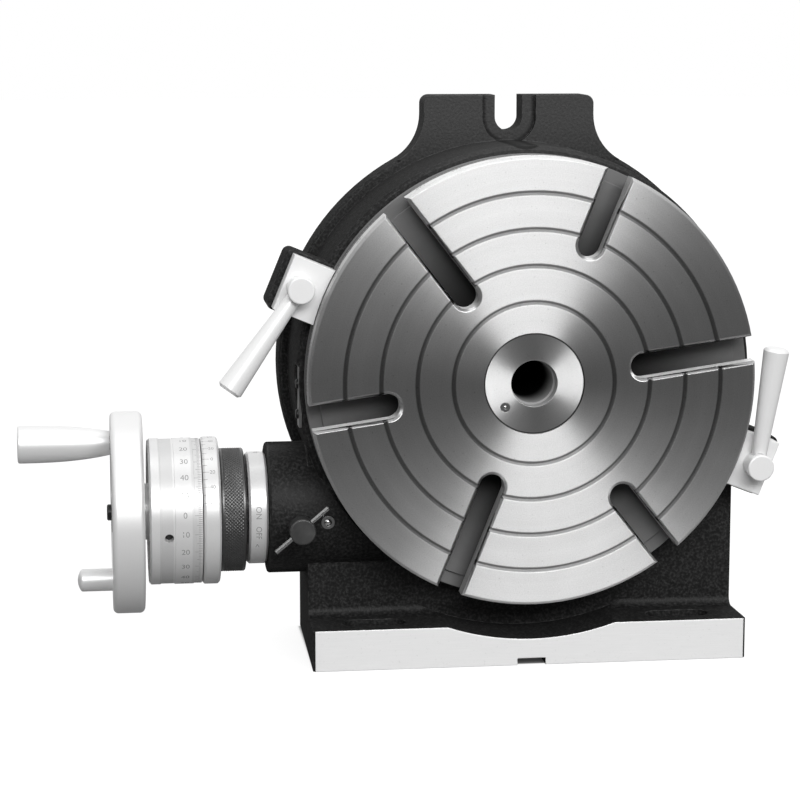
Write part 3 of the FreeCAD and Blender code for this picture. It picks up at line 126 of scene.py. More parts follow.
def blended(tree, share, first, second):
    """A colour between two others."""
    made = put(tree, "ShaderNodeMix", {"Factor": share}, data_type="RGBA")
    colour_inputs = [s for s in made.inputs if s.type == "RGBA"]
    for socket, value in zip(colour_inputs, (first, second)):
        if isinstance(value, bpy.types.NodeSocket):
            tree.links.new(value, socket)
        else:
            socket.default_value = value
    return [s for s in made.outputs if s.type == "RGBA"][0]


def grey(value, warmth=0.0):
    """A neutral colour with an optional touch of warmth."""
    return (value * (1 + warmth), value, value * (1 - warmth), 1.0)


def group_tree(name, inputs, outputs):
    """An empty node group with named number and vector sockets."""
    tree = bpy.data.node_groups.new(name, "ShaderNodeTree")
    for label, kind, value in inputs:
        socket = tree.interface.new_socket(label, in_out="INPUT", socket_type=kind)
        if kind == "NodeSocketFloat":
            socket.default_value = value
    for label, kind in outputs:
        tree.interface.new_socket(label, in_out="OUTPUT", socket_type=kind)
    return tree, tree.nodes.new("NodeGroupInput").outputs, tree.nodes.new("NodeGroupOutput").inputs


def use_group(tree, group, inputs):
    """Place a group in a material with its own values."""
    made = tree.nodes.new("ShaderNodeGroup")
    made.node_tree = group
    for key, value in inputs.items():
        if isinstance(value, bpy.types.NodeSocket):
            tree.links.new(value, made.inputs[key])
        else:
            made.inputs[key].default_value = value
    return made.outputs


FLOAT, VECTOR = "NodeSocketFloat", "NodeSocketVector"


def make_lay_group():
    """Fine tool marks of turning. The axis is the vector's Z. Marks follow distance from the axis plus
    distance along it, so they ring both the round and the flat faces of a turned piece."""
    tree, given, out = group_tree("turned_lay", [("Vector", VECTOR, None), ("Marks", FLOAT, 2500.0)],
                                  [("Height", FLOAT), ("Shade", FLOAT)])
    axes = put(tree, "ShaderNodeSeparateXYZ", {0: given["Vector"]}).outputs
    across = calc(tree, "SQRT", calc(tree, "ADD", calc(tree, "POWER", axes[0], 2.0),
                                     calc(tree, "POWER", axes[1], 2.0)))
    run = calc(tree, "ADD", across, axes[2])
    closely = calc(tree, "MULTIPLY", run, given["Marks"])
    widely = calc(tree, "MULTIPLY", run, 160.0)
    fine = put(tree, "ShaderNodeTexNoise", {"W": closely, "Scale": 1.0, "Detail": 3.0, "Roughness": 0.7},
               noise_dimensions="1D").outputs[0]
    broad = put(tree, "ShaderNodeTexNoise", {"W": widely, "Scale": 1.0, "Detail": 2.0},
                noise_dimensions="1D").outputs[0]
    tree.links.new(fine, out["Height"])
    tree.links.new(calc(tree, "ADD", calc(tree, "MULTIPLY", fine, 0.5), calc(tree, "MULTIPLY", broad, 0.5)),
                   out["Shade"])
    return tree


def make_wear_group():
    """A mask of convex edges, from how far a rounded normal leans away from the true one, broken by noise."""
    tree, given, out = group_tree("edge_wear", [("Vector", VECTOR, None), ("Radius", FLOAT, 0.001),
                                                ("Break Up", FLOAT, 250.0)], [("Mask", FLOAT)])
    soft = put(tree, "ShaderNodeBevel", {"Radius": given["Radius"]}, samples=6).outputs[0]
    true = put(tree, "ShaderNodeNewGeometry").outputs["True Normal"]
    lean = put(tree, "ShaderNodeVectorMath", {0: soft, 1: true}, operation="DOT_PRODUCT").outputs["Value"]
    noise = put(tree, "ShaderNodeTexNoise", {"Vector": given["Vector"], "Scale": given["Break Up"],
                                             "Detail": 4.0}).outputs[0]
    edge = spread(tree, lean, 0.985, 0.86)
    tree.links.new(calc(tree, "MULTIPLY", edge, spread(tree, noise, 0.42, 0.6)), out["Mask"])
    return tree


def make_blotch_group():
    """Oil film and handling: broad soft patches, fine grain and small darker specks."""
    tree, given, out = group_tree("handling", [("Vector", VECTOR, None), ("Size", FLOAT, 30.0)],
                                  [("Patches", FLOAT), ("Grain", FLOAT), ("Specks", FLOAT)])
    patches = put(tree, "ShaderNodeTexNoise", {"Vector": given["Vector"], "Scale": given["Size"],
                                               "Detail": 5.0, "Roughness": 0.6, "Distortion": 0.6}).outputs[0]
    specks = put(tree, "ShaderNodeTexNoise", {"Vector": given["Vector"],
                                              "Scale": calc(tree, "MULTIPLY", given["Size"], 22.0),
                                              "Detail": 2.0}).outputs[0]
    grain = put(tree, "ShaderNodeTexNoise", {"Vector": given["Vector"],
                                             "Scale": calc(tree, "MULTIPLY", given["Size"], 50.0),
                                             "Detail": 3.0, "Roughness": 0.7}).outputs[0]
    tree.links.new(grain, out["Grain"])
    tree.links.new(patches, out["Patches"])
    tree.links.new(spread(tree, specks, 0.66, 0.74), out["Specks"])
    return tree


def make_cast_group():
    """Sand-cast skin under thick paint: close lumps, finer grain and a few pits."""
    tree, given, out = group_tree("cast_skin", [("Vector", VECTOR, None), ("Grain", FLOAT, 900.0)],
                                  [("Height", FLOAT), ("Lumps", FLOAT)])
    cells = put(tree, "ShaderNodeTexVoronoi", {"Vector": given["Vector"], "Scale": given["Grain"]},
                feature="SMOOTH_F1").outputs["Distance"]
    lumps = put(tree, "ShaderNodeTexNoise", {"Vector": given["Vector"],
                                             "Scale": calc(tree, "MULTIPLY", given["Grain"], 1.1),
                                             "Detail": 6.0, "Roughness": 0.62}).outputs[0]
    tree.links.new(calc(tree, "ADD", calc(tree, "MULTIPLY", cells, 0.45), lumps), out["Height"])
    tree.links.new(lumps, out["Lumps"])
    return tree


LAY = make_lay_group()
WEAR = make_wear_group()
HANDLING = make_blotch_group()
CAST = make_cast_group()


def material_tree(name, **sockets):
    """A new material, its tree, its shader, and object coordinates. Sockets are set by name."""
    material = bpy.data.materials.new(name)
    material.use_nodes = True
    tree = material.node_tree
    tree.nodes.clear()
    shader = tree.nodes.new("ShaderNodeBsdfPrincipled")
    output = tree.nodes.new("ShaderNodeOutputMaterial")
    tree.links.new(shader.outputs[0], output.inputs["Surface"])
    for key, value in sockets.items():
        shader.inputs[key.replace("_", " ")].default_value = value
    place = put(tree, "ShaderNodeTexCoord").outputs["Object"]
    return material, tree, shader, place


def onto_axis(tree, place, centre, axis):
    """Coordinates about a turning axis, with that axis as Z."""
    turn = {"X": (0.0, -math.pi / 2, 0.0), "Y": (math.pi / 2, 0.0, 0.0)}[axis]
    moved = put(tree, "ShaderNodeVectorMath", {0: place, 1: centre}, operation="SUBTRACT").outputs[0]
    return put(tree, "ShaderNodeMapping", {"Vector": moved, "Rotation": turn}).outputs[0]


def round_tangent(tree, place, centre, axis):
    """The direction of travel round a turning axis, for the stretched gloss of a turned surface."""
    moved = put(tree, "ShaderNodeVectorMath", {0: place, 1: centre}, operation="SUBTRACT").outputs[0]
    line = {"X": (1.0, 0.0, 0.0), "Y": (0.0, 1.0, 0.0)}[axis]
    about = put(tree, "ShaderNodeVectorMath", {0: line, 1: moved}, operation="CROSS_PRODUCT").outputs[0]
    unit = put(tree, "ShaderNodeVectorMath", {0: about}, operation="NORMALIZE").outputs[0]
    return put(tree, "ShaderNodeVectorTransform", {0: unit}, vector_type="VECTOR", convert_from="OBJECT",
               convert_to="WORLD").outputs[0]


def bumped(tree, shader, height, distance, strength=1.0, soft=0.25 * MM):
    """Feed a height into the shader's normal, over edges that are slightly rounded."""
    eased_edges = put(tree, "ShaderNodeBevel", {"Radius": soft}, samples=6).outputs[0]
    bump = put(tree, "ShaderNodeBump", {"Height": height, "Distance": distance, "Strength": strength,
                                        "Normal": eased_edges})
    tree.links.new(bump.outputs[0], shader.inputs["Normal"])
    return bump


def turned_metal(name, tone, roughness, centre, axis, marks=2500.0, depth=0.004 * MM, stretch=0.6,
                 contrast=0.12, patch=0.1, metal=1.0, inside=None, joints_and_shaded_grooves=(), bands=(), crossed=False):
    """Bare metal off a lathe: rings of tool marks, a soft oil film and the gloss stretched across them.
    Inside gives a radius, two depths, a tone, how metallic it is, two deeper depths and two radii: nearer
    the axis than the radius, the metal goes over to these between the depths, partly a duller finish and
    partly painted shade. Painted shade takes it to black beyond the deeper ones, and darkens it from the last
    radius in to the one before. The joints and shaded grooves are dark rings, each with a radius, half a
    width, the depth at which it starts and a strength; they stand for real dark joints and for painted shade
    along the bottoms of grooves. Bands are spans along the axis that were turned finer and look duller.
    Crossed metal was ground across, so its gloss runs round."""
    material, tree, shader, place = material_tree(name, Metallic=metal, Anisotropic=stretch,
                                                  Specular_IOR_Level=0.3 * (1 - metal))
    shader.inputs["Anisotropic Rotation"].default_value = 0.0 if crossed else 0.25
    turned = onto_axis(tree, place, centre, axis)
    lay = use_group(tree, LAY, {"Vector": turned, "Marks": marks})
    marks_of_use = use_group(tree, HANDLING, {"Vector": place, "Size": 28.0})
    rings = calc(tree, "MULTIPLY", calc(tree, "SUBTRACT", lay["Shade"], 0.5), contrast)
    stains = calc(tree, "MULTIPLY", calc(tree, "SUBTRACT", marks_of_use["Patches"], 0.5), patch)
    grain = calc(tree, "MULTIPLY", calc(tree, "SUBTRACT", marks_of_use["Grain"], 0.5), contrast * 2.5)
    shade = calc(tree, "ADD", calc(tree, "ADD", rings, stains), grain)
    dark, light = grey(tone * 0.7), grey(min(1.0, tone * 1.3))
    colour = blended(tree, calc(tree, "ADD", shade, 0.5), dark, light)
    colour = blended(tree, calc(tree, "MULTIPLY", marks_of_use["Specks"], contrast), colour, grey(tone * 0.3))
    rough = calc(tree, "ADD", calc(tree, "MULTIPLY", marks_of_use["Patches"], 0.12), roughness - 0.06)
    off = put(tree, "ShaderNodeVectorMath", {0: turned, 1: (1.0, 1.0, 0.0)}, operation="MULTIPLY").outputs[0]
    away = put(tree, "ShaderNodeVectorMath", {0: off}, operation="LENGTH").outputs["Value"]
    along = put(tree, "ShaderNodeSeparateXYZ", {0: place}).outputs["XYZ".index(axis)]
    if inside:
        radius, near, far, inner_tone, inner_metal, dusk, night, dim_r, lit_r = inside
        deep = calc(tree, "MULTIPLY", spread(tree, away, radius, radius - 0.2 * MM),
                    spread(tree, along, near, far))
        dull_and_shaded = blended(tree, marks_of_use["Patches"], grey(inner_tone * 0.7), grey(inner_tone * 1.2))
        # Painted shade: black deeper in from dusk to night, and darker in towards the axis from lit_r to
        # dim_r.
        painted_shade_share = calc(tree, "MAXIMUM", spread(tree, along, dusk, night),
                          spread(tree, away, lit_r, dim_r, 0.0, 0.92))
        dull_and_shaded = blended(tree, painted_shade_share, dull_and_shaded, grey(0.004))
        colour = blended(tree, deep, colour, dull_and_shaded)
        rough = calc(tree, "ADD", rough, calc(tree, "MULTIPLY", deep, 0.1))
        tree.links.new(calc(tree, "SUBTRACT", 1.0, calc(tree, "MULTIPLY", deep, 1.0 - inner_metal)),
                       shader.inputs["Metallic"])
    # Dark rings: real dark joints, and painted shade along the bottoms of grooves.
    for radius, half, start, strength in joints_and_shaded_grooves:
        off_ring = calc(tree, "ABSOLUTE", calc(tree, "SUBTRACT", away, radius))
        ring = spread(tree, off_ring, half + 0.15 * MM, half - 0.15 * MM, 0.0, strength)
        depth_span = calc(tree, "MULTIPLY", spread(tree, along, start - 0.2 * MM, start + 0.4 * MM),
                          spread(tree, along, 2.8 * MM, 2.2 * MM))
        joint_and_groove_shade = calc(tree, "MULTIPLY", ring, depth_span)
        colour = blended(tree, joint_and_groove_shade, colour, grey(0.02))
    for low, high in bands:
        band = calc(tree, "MULTIPLY", spread(tree, along, low - 0.1 * MM, low + 0.1 * MM),
                    spread(tree, along, high + 0.1 * MM, high - 0.1 * MM))
        colour = blended(tree, calc(tree, "MULTIPLY", band, 0.22), colour, grey(tone * 0.35))
        rough = calc(tree, "ADD", rough, calc(tree, "MULTIPLY", band, 0.08))
    tree.links.new(colour, shader.inputs["Base Color"])
    tree.links.new(rough, shader.inputs["Roughness"])
    tree.links.new(round_tangent(tree, place, centre, axis), shader.inputs["Tangent"])
    bumped(tree, shader, lay["Height"], depth)
    return material


def blasted_metal(name, tone, roughness, grain=1800.0, depth=0.01 * MM, patch=0.15, warmth=0.0, metal=1.0):
    """Cast or bead-blasted metal with a satin face: fine grain, faint patches and bright worn edges."""
    material, tree, shader, place = material_tree(name, Metallic=metal)
    skin = use_group(tree, CAST, {"Vector": place, "Grain": grain})
    marks_of_use = use_group(tree, HANDLING, {"Vector": place, "Size": 40.0})
    wear = use_group(tree, WEAR, {"Vector": place, "Radius": 0.6 * MM, "Break Up": 200.0})["Mask"]
    share = calc(tree, "ADD", calc(tree, "MULTIPLY", calc(tree, "SUBTRACT", marks_of_use["Patches"], 0.5),
                                   patch), 0.5)
    body = blended(tree, share, grey(tone * 0.8, warmth), grey(min(1.0, tone * 1.15), warmth))
    tree.links.new(blended(tree, calc(tree, "MULTIPLY", wear, 0.5), body, grey(min(1.0, tone * 1.3))),
                   shader.inputs["Base Color"])
    tree.links.new(calc(tree, "ADD", calc(tree, "MULTIPLY", skin["Lumps"], 0.15), roughness - 0.07),
                   shader.inputs["Roughness"])
    bumped(tree, shader, skin["Height"], depth)
    return material


def black_oxide(name, tone=0.035, roughness=0.38, worn=0.6, relief=0.02 * MM):
    """Chemically blackened steel: dark and semi-bright, with the steel showing at worn edges."""
    material, tree, shader, place = material_tree(name, Metallic=0.85)
    marks_of_use = use_group(tree, HANDLING, {"Vector": place, "Size": 90.0})
    wear = use_group(tree, WEAR, {"Vector": place, "Radius": 0.4 * MM, "Break Up": 500.0})["Mask"]
    body = blended(tree, marks_of_use["Patches"], grey(tone * 0.7), grey(tone * 1.6))
    tree.links.new(blended(tree, calc(tree, "MULTIPLY", wear, worn), body, grey(0.4)),
                   shader.inputs["Base Color"])
    tree.links.new(calc(tree, "ADD", calc(tree, "MULTIPLY", marks_of_use["Patches"], 0.2), roughness - 0.1),
                   shader.inputs["Roughness"])
    bumped(tree, shader, marks_of_use["Patches"], relief)
    return material


def casting_paint():
    """Thick black paint on the sand-cast body, painted paler towards the top, at the lug, as a painted
    highlight of the light from above, and with painted shade in the corner of its spot face. The machined
    faces are bare: the front, sole and back of the foot and lug, found by their planes."""
    material, tree, shader, place = material_tree("black_cast_paint", Specular_IOR_Level=0.2)
    skin = use_group(tree, CAST, {"Vector": place, "Grain": 620.0})
    marks_of_use = use_group(tree, HANDLING, {"Vector": place, "Size": 35.0})
    wear = use_group(tree, WEAR, {"Vector": place, "Radius": 0.8 * MM, "Break Up": 220.0})["Mask"]
    axes = put(tree, "ShaderNodeSeparateXYZ", {0: place}).outputs
    on_foot = calc(tree, "LESS_THAN", axes[2], -136.5 * MM)
    front = calc(tree, "MULTIPLY", on_foot, calc(tree, "LESS_THAN", axes[1], 2.25 * MM))
    sole = calc(tree, "LESS_THAN", axes[2], FLOOR_Z + 0.2 * MM)
    back = calc(tree, "GREATER_THAN", axes[1], 109.8 * MM)
    bare = calc(tree, "MAXIMUM", calc(tree, "MAXIMUM", front, sole), back)
    grain = put(tree, "ShaderNodeMapping", {"Vector": place, "Scale": (60.0, 60.0, 2600.0)}).outputs[0]
    ground = put(tree, "ShaderNodeTexNoise", {"Vector": grain, "Scale": 1.0, "Detail": 4.0}).outputs[0]
    painted = blended(tree, spread(tree, skin["Lumps"], 0.4, 0.75), grey(0.006), grey(0.04))
    # Painted highlight: the paint grows paler towards the top, at the lug, for the light from above.
    painted = blended(tree, spread(tree, axes[2], 100 * MM, 145 * MM, 0.0, 0.5), painted, grey(0.075))
    # Painted shade: darker inside the rim of the lug's spot face, in its corner.
    drop = calc(tree, "MINIMUM", calc(tree, "SUBTRACT", axes[2], LUG_SLOT_Z), 0.0)
    to_slot = calc(tree, "SQRT", calc(tree, "ADD", calc(tree, "POWER", axes[0], 2.0),
                                      calc(tree, "POWER", drop, 2.0)))
    shade_towards_rim = spread(tree, to_slot, SPOT_FACE_R - 3 * MM, SPOT_FACE_R - 1 * MM, 0.0, 0.85)
    painted_corner_shade = calc(tree, "MULTIPLY", shade_towards_rim, calc(tree, "LESS_THAN", to_slot, SPOT_FACE_R + 0.1 * MM))
    painted_corner_shade = calc(tree, "MULTIPLY", painted_corner_shade, calc(tree, "GREATER_THAN", axes[2], 120 * MM))
    painted = blended(tree, painted_corner_shade, painted, grey(0.003))
    painted = blended(tree, calc(tree, "MULTIPLY", wear, 0.35), painted, grey(0.22))
    steel = blended(tree, ground, grey(0.88), grey(0.98))
    steel = blended(tree, calc(tree, "MULTIPLY", marks_of_use["Specks"], 0.12), steel, grey(0.3))
    tree.links.new(blended(tree, bare, painted, steel), shader.inputs["Base Color"])
    tree.links.new(calc(tree, "MULTIPLY", bare, 0.25), shader.inputs["Metallic"])
    rough = calc(tree, "ADD", calc(tree, "MULTIPLY", skin["Lumps"], 0.5), 0.26)
    graze = spread(tree, put(tree, "ShaderNodeLayerWeight").outputs["Facing"], 0.55, 0.9, 0.0, 0.6)
    rough = calc(tree, "MINIMUM", calc(tree, "ADD", rough, graze), 1.0)
    rough = calc(tree, "ADD", calc(tree, "MULTIPLY", rough, calc(tree, "SUBTRACT", 1.0, bare)),
                 calc(tree, "MULTIPLY", bare, 0.36))
    tree.links.new(rough, shader.inputs["Roughness"])
    height = calc(tree, "ADD", calc(tree, "MULTIPLY", skin["Height"], calc(tree, "SUBTRACT", 1.0, bare)),
                  calc(tree, "MULTIPLY", ground, calc(tree, "MULTIPLY", bare, 0.02)))
    bumped(tree, shader, height, 0.25 * MM, soft=0.8 * MM)
    return material


def engraved_ink(name, tone=0.1):
    """Dark paint wiped into engraved lines."""
    material, tree, shader, place = material_tree(name)
    marks_of_use = use_group(tree, HANDLING, {"Vector": place, "Size": 400.0})
    tree.links.new(blended(tree, marks_of_use["Patches"], grey(tone), grey(min(0.8, tone * 2))),
                   shader.inputs["Base Color"])
    tree.links.new(calc(tree, "ADD", calc(tree, "MULTIPLY", marks_of_use["Patches"], 0.2), 0.45),
                   shader.inputs["Roughness"])
    return material


# The dark joint round the insert: radius, half a width, the depth at which it starts, strength.
INSERT_SEAM = (INSERT_R, 0.4 * MM, -1 * MM, 0.9)

FINISHES = {
    "paint": casting_paint(),
    "table": turned_metal("table_iron", 0.6, 0.44, TABLE_AXIS, "Y", stretch=0.96, contrast=0.3, patch=0.3,
                          # Inside the T-slots the iron is duller and darker, and painted shade takes it
                          # towards black deeper in and towards the axis.
                          inside=(150 * MM, 10.6 * MM, 11.2 * MM, 0.2, 0.35,
                                  19 * MM, 60 * MM, 50 * MM, 128 * MM),
                          # The rings at the grooves' radii are painted shade along the groove bottoms; the
                          # insert's ring is its dark joint.
                          joints_and_shaded_grooves=[INSERT_SEAM] + [(r, GROOVE_HALF, 0.1 * MM, 0.62) for r in FACE_GROOVES]),
    "insert": turned_metal("ground_insert", 0.7, 0.36, TABLE_AXIS, "Y", stretch=0.92, patch=0.3,
                           # Inside the bore the steel turns dark, and painted shade takes it to black deeper
                           # in.
                           inside=(BORE_R, 0.2 * MM, 1.2 * MM, 0.4, 0.0,
                                   4 * MM, 34 * MM, -2 * MM, -1 * MM),
                           joints_and_shaded_grooves=[INSERT_SEAM], crossed=True),
    "chrome_x": turned_metal("satin_chrome", 0.9, 0.36, WORM_AXIS, "X", marks=3500.0, stretch=0.3,
                             contrast=0.05, patch=0.1, metal=0.4,
                             bands=((-206.1 * MM, -198.6 * MM), (-188.2 * MM, -183.5 * MM))),
    "collar": turned_metal("collar_chrome", 0.9, 0.36, COLLAR_AXIS, "X", marks=3500.0, stretch=0.3,
                           contrast=0.05, patch=0.1, metal=0.4),
    "steel_x": turned_metal("ground_steel", 0.55, 0.26, WORM_AXIS, "X"),
    "aluminium": blasted_metal("cast_aluminium", 0.92, 0.4, metal=0.45),
    "clamp": blasted_metal("clamp_steel", 0.96, 0.36, grain=1500.0, metal=0.15),
    "bright": blasted_metal("polished_steel", 0.7, 0.2, grain=2500.0, depth=0.002 * MM, patch=0.1),
    "steel": blasted_metal("plain_steel", 0.32, 0.3, grain=2500.0, depth=0.002 * MM, patch=0.2),
    "bronze": blasted_metal("bronze", 0.45, 0.3, grain=1500.0, warmth=0.32),
    "brass": blasted_metal("brass", 0.5, 0.3, grain=1500.0, warmth=0.25),
    "bar": blasted_metal("bar_steel", 0.42, 0.2, grain=2500.0, depth=0.002 * MM, patch=0.2),
    "black": black_oxide("black_oxide"),
    "dark": black_oxide("dark_steel", tone=0.1),
    "knurl": black_oxide("blacked_knurl", tone=0.1, roughness=0.36, worn=0.1, relief=0.004 * MM),
    "ink": engraved_ink("engraved_ink", 0.2),
}


# Surfaces

def spun(profile, centre, segments):
    """Surface of revolution about X. Point (i, k) is the profile's point i turned by 2 pi k / segments about
    the line through centre: along it by its first value, and away from it by its second."""
    turn = np.linspace(0, 2 * math.pi, segments, endpoint=False)
    along = np.repeat(profile[:, :1], segments, 1)
    side = profile[:, 1:] * np.cos(turn)
    rise = profile[:, 1:] * np.sin(turn)
    points = np.stack([along, side, rise], -1).reshape(-1, 3) + np.array(centre)
    return points, wrapped_faces(len(profile), segments)


def wrapped_faces(rows, columns):
    """Four-sided faces of a grid that closes on itself both across and down."""
    i, k = np.meshgrid(np.arange(rows), np.arange(columns), indexing="ij")
    here, below = i * columns, (i + 1) % rows * columns
    beside = (k + 1) % columns
    return np.stack([here + k, here + beside, below + beside, below + k], -1).reshape(-1, 4)


def solid(name, points, faces, body, finish, sharp=35.0, stands_for=()):
    """Put a surface into a mesh, close its seams, face it outwards and seat it on its body."""
    mesh = bpy.data.meshes.new(name)
    mesh.from_pydata(np.asarray(points, float).tolist(), [], np.asarray(faces).tolist())
    return piece_of(name, mesh, body, finish, sharp, stands_for)


def piece_of(name, mesh, body, finish, sharp=35.0, stands_for=(), mend=True):
    """An object around a finished mesh, with its finish and body."""
    if mend:
        work = bmesh.new()
        work.from_mesh(mesh)
        bmesh.ops.remove_doubles(work, verts=work.verts, dist=1e-7)
        bmesh.ops.recalc_face_normals(work, faces=work.faces)
        work.to_mesh(mesh)
        work.free()
    if sharp:
        mesh.shade_smooth()
        mesh.set_sharp_from_angle(angle=math.radians(sharp))
    mesh.materials.clear()
    mesh.materials.append(FINISHES[finish])
    thing = bpy.data.objects.new(name, mesh)
    bpy.context.scene.collection.objects.link(thing)
    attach(thing, body)
    if stands_for:
        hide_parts(*stands_for)
    return thing


def dress(finish, *nodes):
    """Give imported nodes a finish."""
    for name in nodes:
        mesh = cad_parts[name].data
        mesh.materials.clear()
        mesh.materials.append(FINISHES[finish])


def softened(node, body, finish, width, sharp=35.0):
    """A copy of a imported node, its loose faces merged and its edges rounded over. It stands for the node."""
    work = bmesh.new()
    work.from_mesh(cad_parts[node].data)
    bmesh.ops.remove_doubles(work, verts=work.verts, dist=2e-6)
    bmesh.ops.dissolve_limit(work, angle_limit=math.radians(0.5), verts=work.verts, edges=work.edges)
    mesh = bpy.data.meshes.new(node + "_fine")
    work.to_mesh(mesh)
    work.free()
    thing = piece_of(node + "_fine", mesh, body, finish, sharp, (node,), mend=False)
    rounding = thing.modifiers.new("rounding", "BEVEL")
    rounding.width, rounding.segments = width, 2
    rounding.limit_method, rounding.angle_limit = "ANGLE", math.radians(sharp)
    facing = thing.modifiers.new("facing", "WEIGHTED_NORMAL")
    facing.keep_sharp, facing.weight = True, 100
    return thing


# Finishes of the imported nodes, and the softened copies

dress("paint", "body_casting")
dress("insert", "spindle_sleeve")
dress("bronze", "worm_wheel", "worm_end_bush", "worm_thrust_washer")
dress("brass", "lock_screw_pad")
dress("steel", "spindle_oiler_cup", "housing_oiler_cup", "index_plate")
dress("bright", "spindle_oiler_ball", "housing_oiler_ball", "rear_race_fixed",
      "rear_race_turning", "rear_thrust_balls", "spindle_lock_washer", "worm_race_fixed",
      "worm_race_turning", "worm_thrust_balls")
dress("bar", "tommy_bar")
dress("black", "worm_wheel_screws", "spindle_lock_nut", "rear_cover", "rear_cover_screws",
      "worm_adjusting_nut", "eccentric_sleeve", "collar_screw", "knurled_lock_ring", "dial_set_screw",
      "handwheel_screw", "index_plate_screws")
dress("steel_x", "worm_shaft", "handwheel_key", "handwheel_washer", "crank_handle_axle")
for side in ("left", "right"):
    softened(side + "_clamp_dog", side + "_dog", "clamp", 0.6 * MM)
    softened(side + "_clamp_stud", side + "_clamp", "clamp", 0.4 * MM)
    softened(side + "_clamp_lever", side + "_clamp", "clamp", 0.5 * MM)
softened("table_plate", "table", "table", 0.45 * MM)
softened("handwheel", "worm", "aluminium", 0.5 * MM)
softened("finger_peg", "worm", "aluminium", 0.5 * MM)
softened("dial_drum", "dial", "chrome_x", 0.25 * MM)
softened("vernier_ring", "vernier", "chrome_x", 0.25 * MM)
softened("engage_collar", "eccentric", "collar", 0.25 * MM)
softened("sleeve_lock_screw", "lock_screw", "dark", 0.3 * MM)


# Markings and the knurl

BOX_FACES = np.array([(0, 1, 3, 2), (4, 6, 7, 5), (0, 4, 5, 1), (2, 3, 7, 6), (0, 2, 6, 4), (1, 5, 7, 3)])


def on_round(along, arc, out, radius, centre, axis):
    """Wrap flat places on a round surface: along runs with the axis, arc round it. About X the arc starts
    at the front and climbs, about Y it starts at the right and climbs."""
    angle, reach = arc / radius, radius + out
    if axis == "X":
        return np.stack([along + centre[0], centre[1] - reach * np.cos(angle),
                         centre[2] + reach * np.sin(angle)], -1)
    return np.stack([centre[0] + reach * np.cos(angle), along + centre[1],
                     centre[2] + reach * np.sin(angle)], -1)


def line_boxes(starts, ends, across, width):
    """Thin inlaid boxes from arrays of their starts, ends and places across: their corners along, across
    and out."""
    starts, ends, across = np.broadcast_arrays(starts, ends, across)
    sign = np.array([(a, b, c) for a in (0, 1) for b in (-0.5, 0.5) for c in (0, 1)])
    along = starts[:, None] + (ends - starts)[:, None] * sign[:, 0]
    sideways = across[:, None] + width * sign[:, 1]
    return along, sideways, -INK_DEEP + (INK_OUT + INK_DEEP) * sign[:, 2] + 0 * sideways


def scale_lines(name, angles, starts, ends, width, radius, centre, axis, body):
    """Engraved lines on a round surface, all made at once from arrays of angles and lengths."""
    along, arc, out = line_boxes(starts, ends, np.radians(angles) * radius, width)
    points = on_round(along, arc, out, radius, centre, axis).reshape(-1, 3)
    faces = (np.arange(len(along))[:, None, None] * 8 + BOX_FACES).reshape(-1, 4)
    return solid(name, points, faces, body, "ink", sharp=0)


def flat_words(words, height):
    """One line of plain lettering as points and faces, centred, with a small thickness."""
    curve = bpy.data.curves.new("words", "FONT")
    curve.body, curve.size = words, height / 0.69
    curve.align_x, curve.align_y = "CENTER", "CENTER"
    curve.extrude, curve.resolution_u = 0.5 * (INK_OUT + INK_DEEP), 3
    holder = bpy.data.objects.new("words", curve)
    mesh = bpy.data.meshes.new_from_object(holder)
    points = np.zeros(len(mesh.vertices) * 3)
    mesh.vertices.foreach_get("co", points)
    faces = [tuple(face.vertices) for face in mesh.polygons]
    bpy.data.objects.remove(holder)
    bpy.data.curves.remove(curve)
    bpy.data.meshes.remove(mesh)
    return points.reshape(-1, 3), faces


def scale_words(name, labels, height, radius, centre, axis, body, turned=0):
    """Numbers or words wrapped on a round surface. Each label is (words, place along, angle). Turned by 0
    they read along the axis, by 1 they read down the round, by -1 up it."""
    all_points, all_faces, count = [], [], 0
    for words, along, angle in labels:
        flat, faces = flat_words(words, height)
        across, up = flat[:, 0], flat[:, 1]
        if turned:
            across, up = turned * flat[:, 1], -turned * flat[:, 0]
        out = flat[:, 2] + (INK_OUT - INK_DEEP) / 2
        arc = math.radians(angle) * radius + up
        all_points.append(on_round(along + across, arc, out, radius, centre, axis))
        all_faces += [tuple(n + count for n in face) for face in faces]
        count += len(flat)
    mesh = bpy.data.meshes.new(name)
    mesh.from_pydata(np.concatenate(all_points).tolist(), [], all_faces)
    return piece_of(name, mesh, body, "ink", sharp=0)


def make_dial_marks():
    """Four degrees of table to the turn: a line for each minute, and a number for each ten."""
    minutes = np.arange(240)
    length = np.where(minutes % 10 == 0, 4.3, np.where(minutes % 5 == 0, 3.2, 2.2)) * MM
    right = -182.5 * MM
    zero = 7.3
    scale_lines("dial_lines", zero + minutes * 1.5, right - length, right, LINE_WIDE, DIAL_LINES_R, WORM_AXIS,
                "X", "dial")
    labels = []
    for step in range(24):
        degree, part = divmod(step, 6)
        labels.append((str(part * 10) if part else str(degree), -192.0 * MM, zero - step * 15.0))
    scale_words("dial_numbers", labels, 3.3 * MM, DIAL_R, WORM_AXIS, "X", "dial")


def make_vernier_marks():
    """Twelve even spaces, six to each side of zero, with a number at every second line."""
    steps = np.arange(-6, 7)
    length = np.where(steps % 2 == 0, 3.6, 2.4) * MM
    left, zero, space = -181.6 * MM, 54.0, 6.25
    scale_lines("vernier_lines", zero + steps * space, left, left + length, LINE_WIDE, VERNIER_R, WORM_AXIS,
                "X", "vernier")
    labels = [(str(abs(n) * 10), -176.4 * MM, zero + n * space) for n in (-6, -4, -2, 0, 2, 4, 6)]
    scale_words("vernier_numbers", labels, 2.2 * MM, VERNIER_R, WORM_AXIS, "X", "vernier")


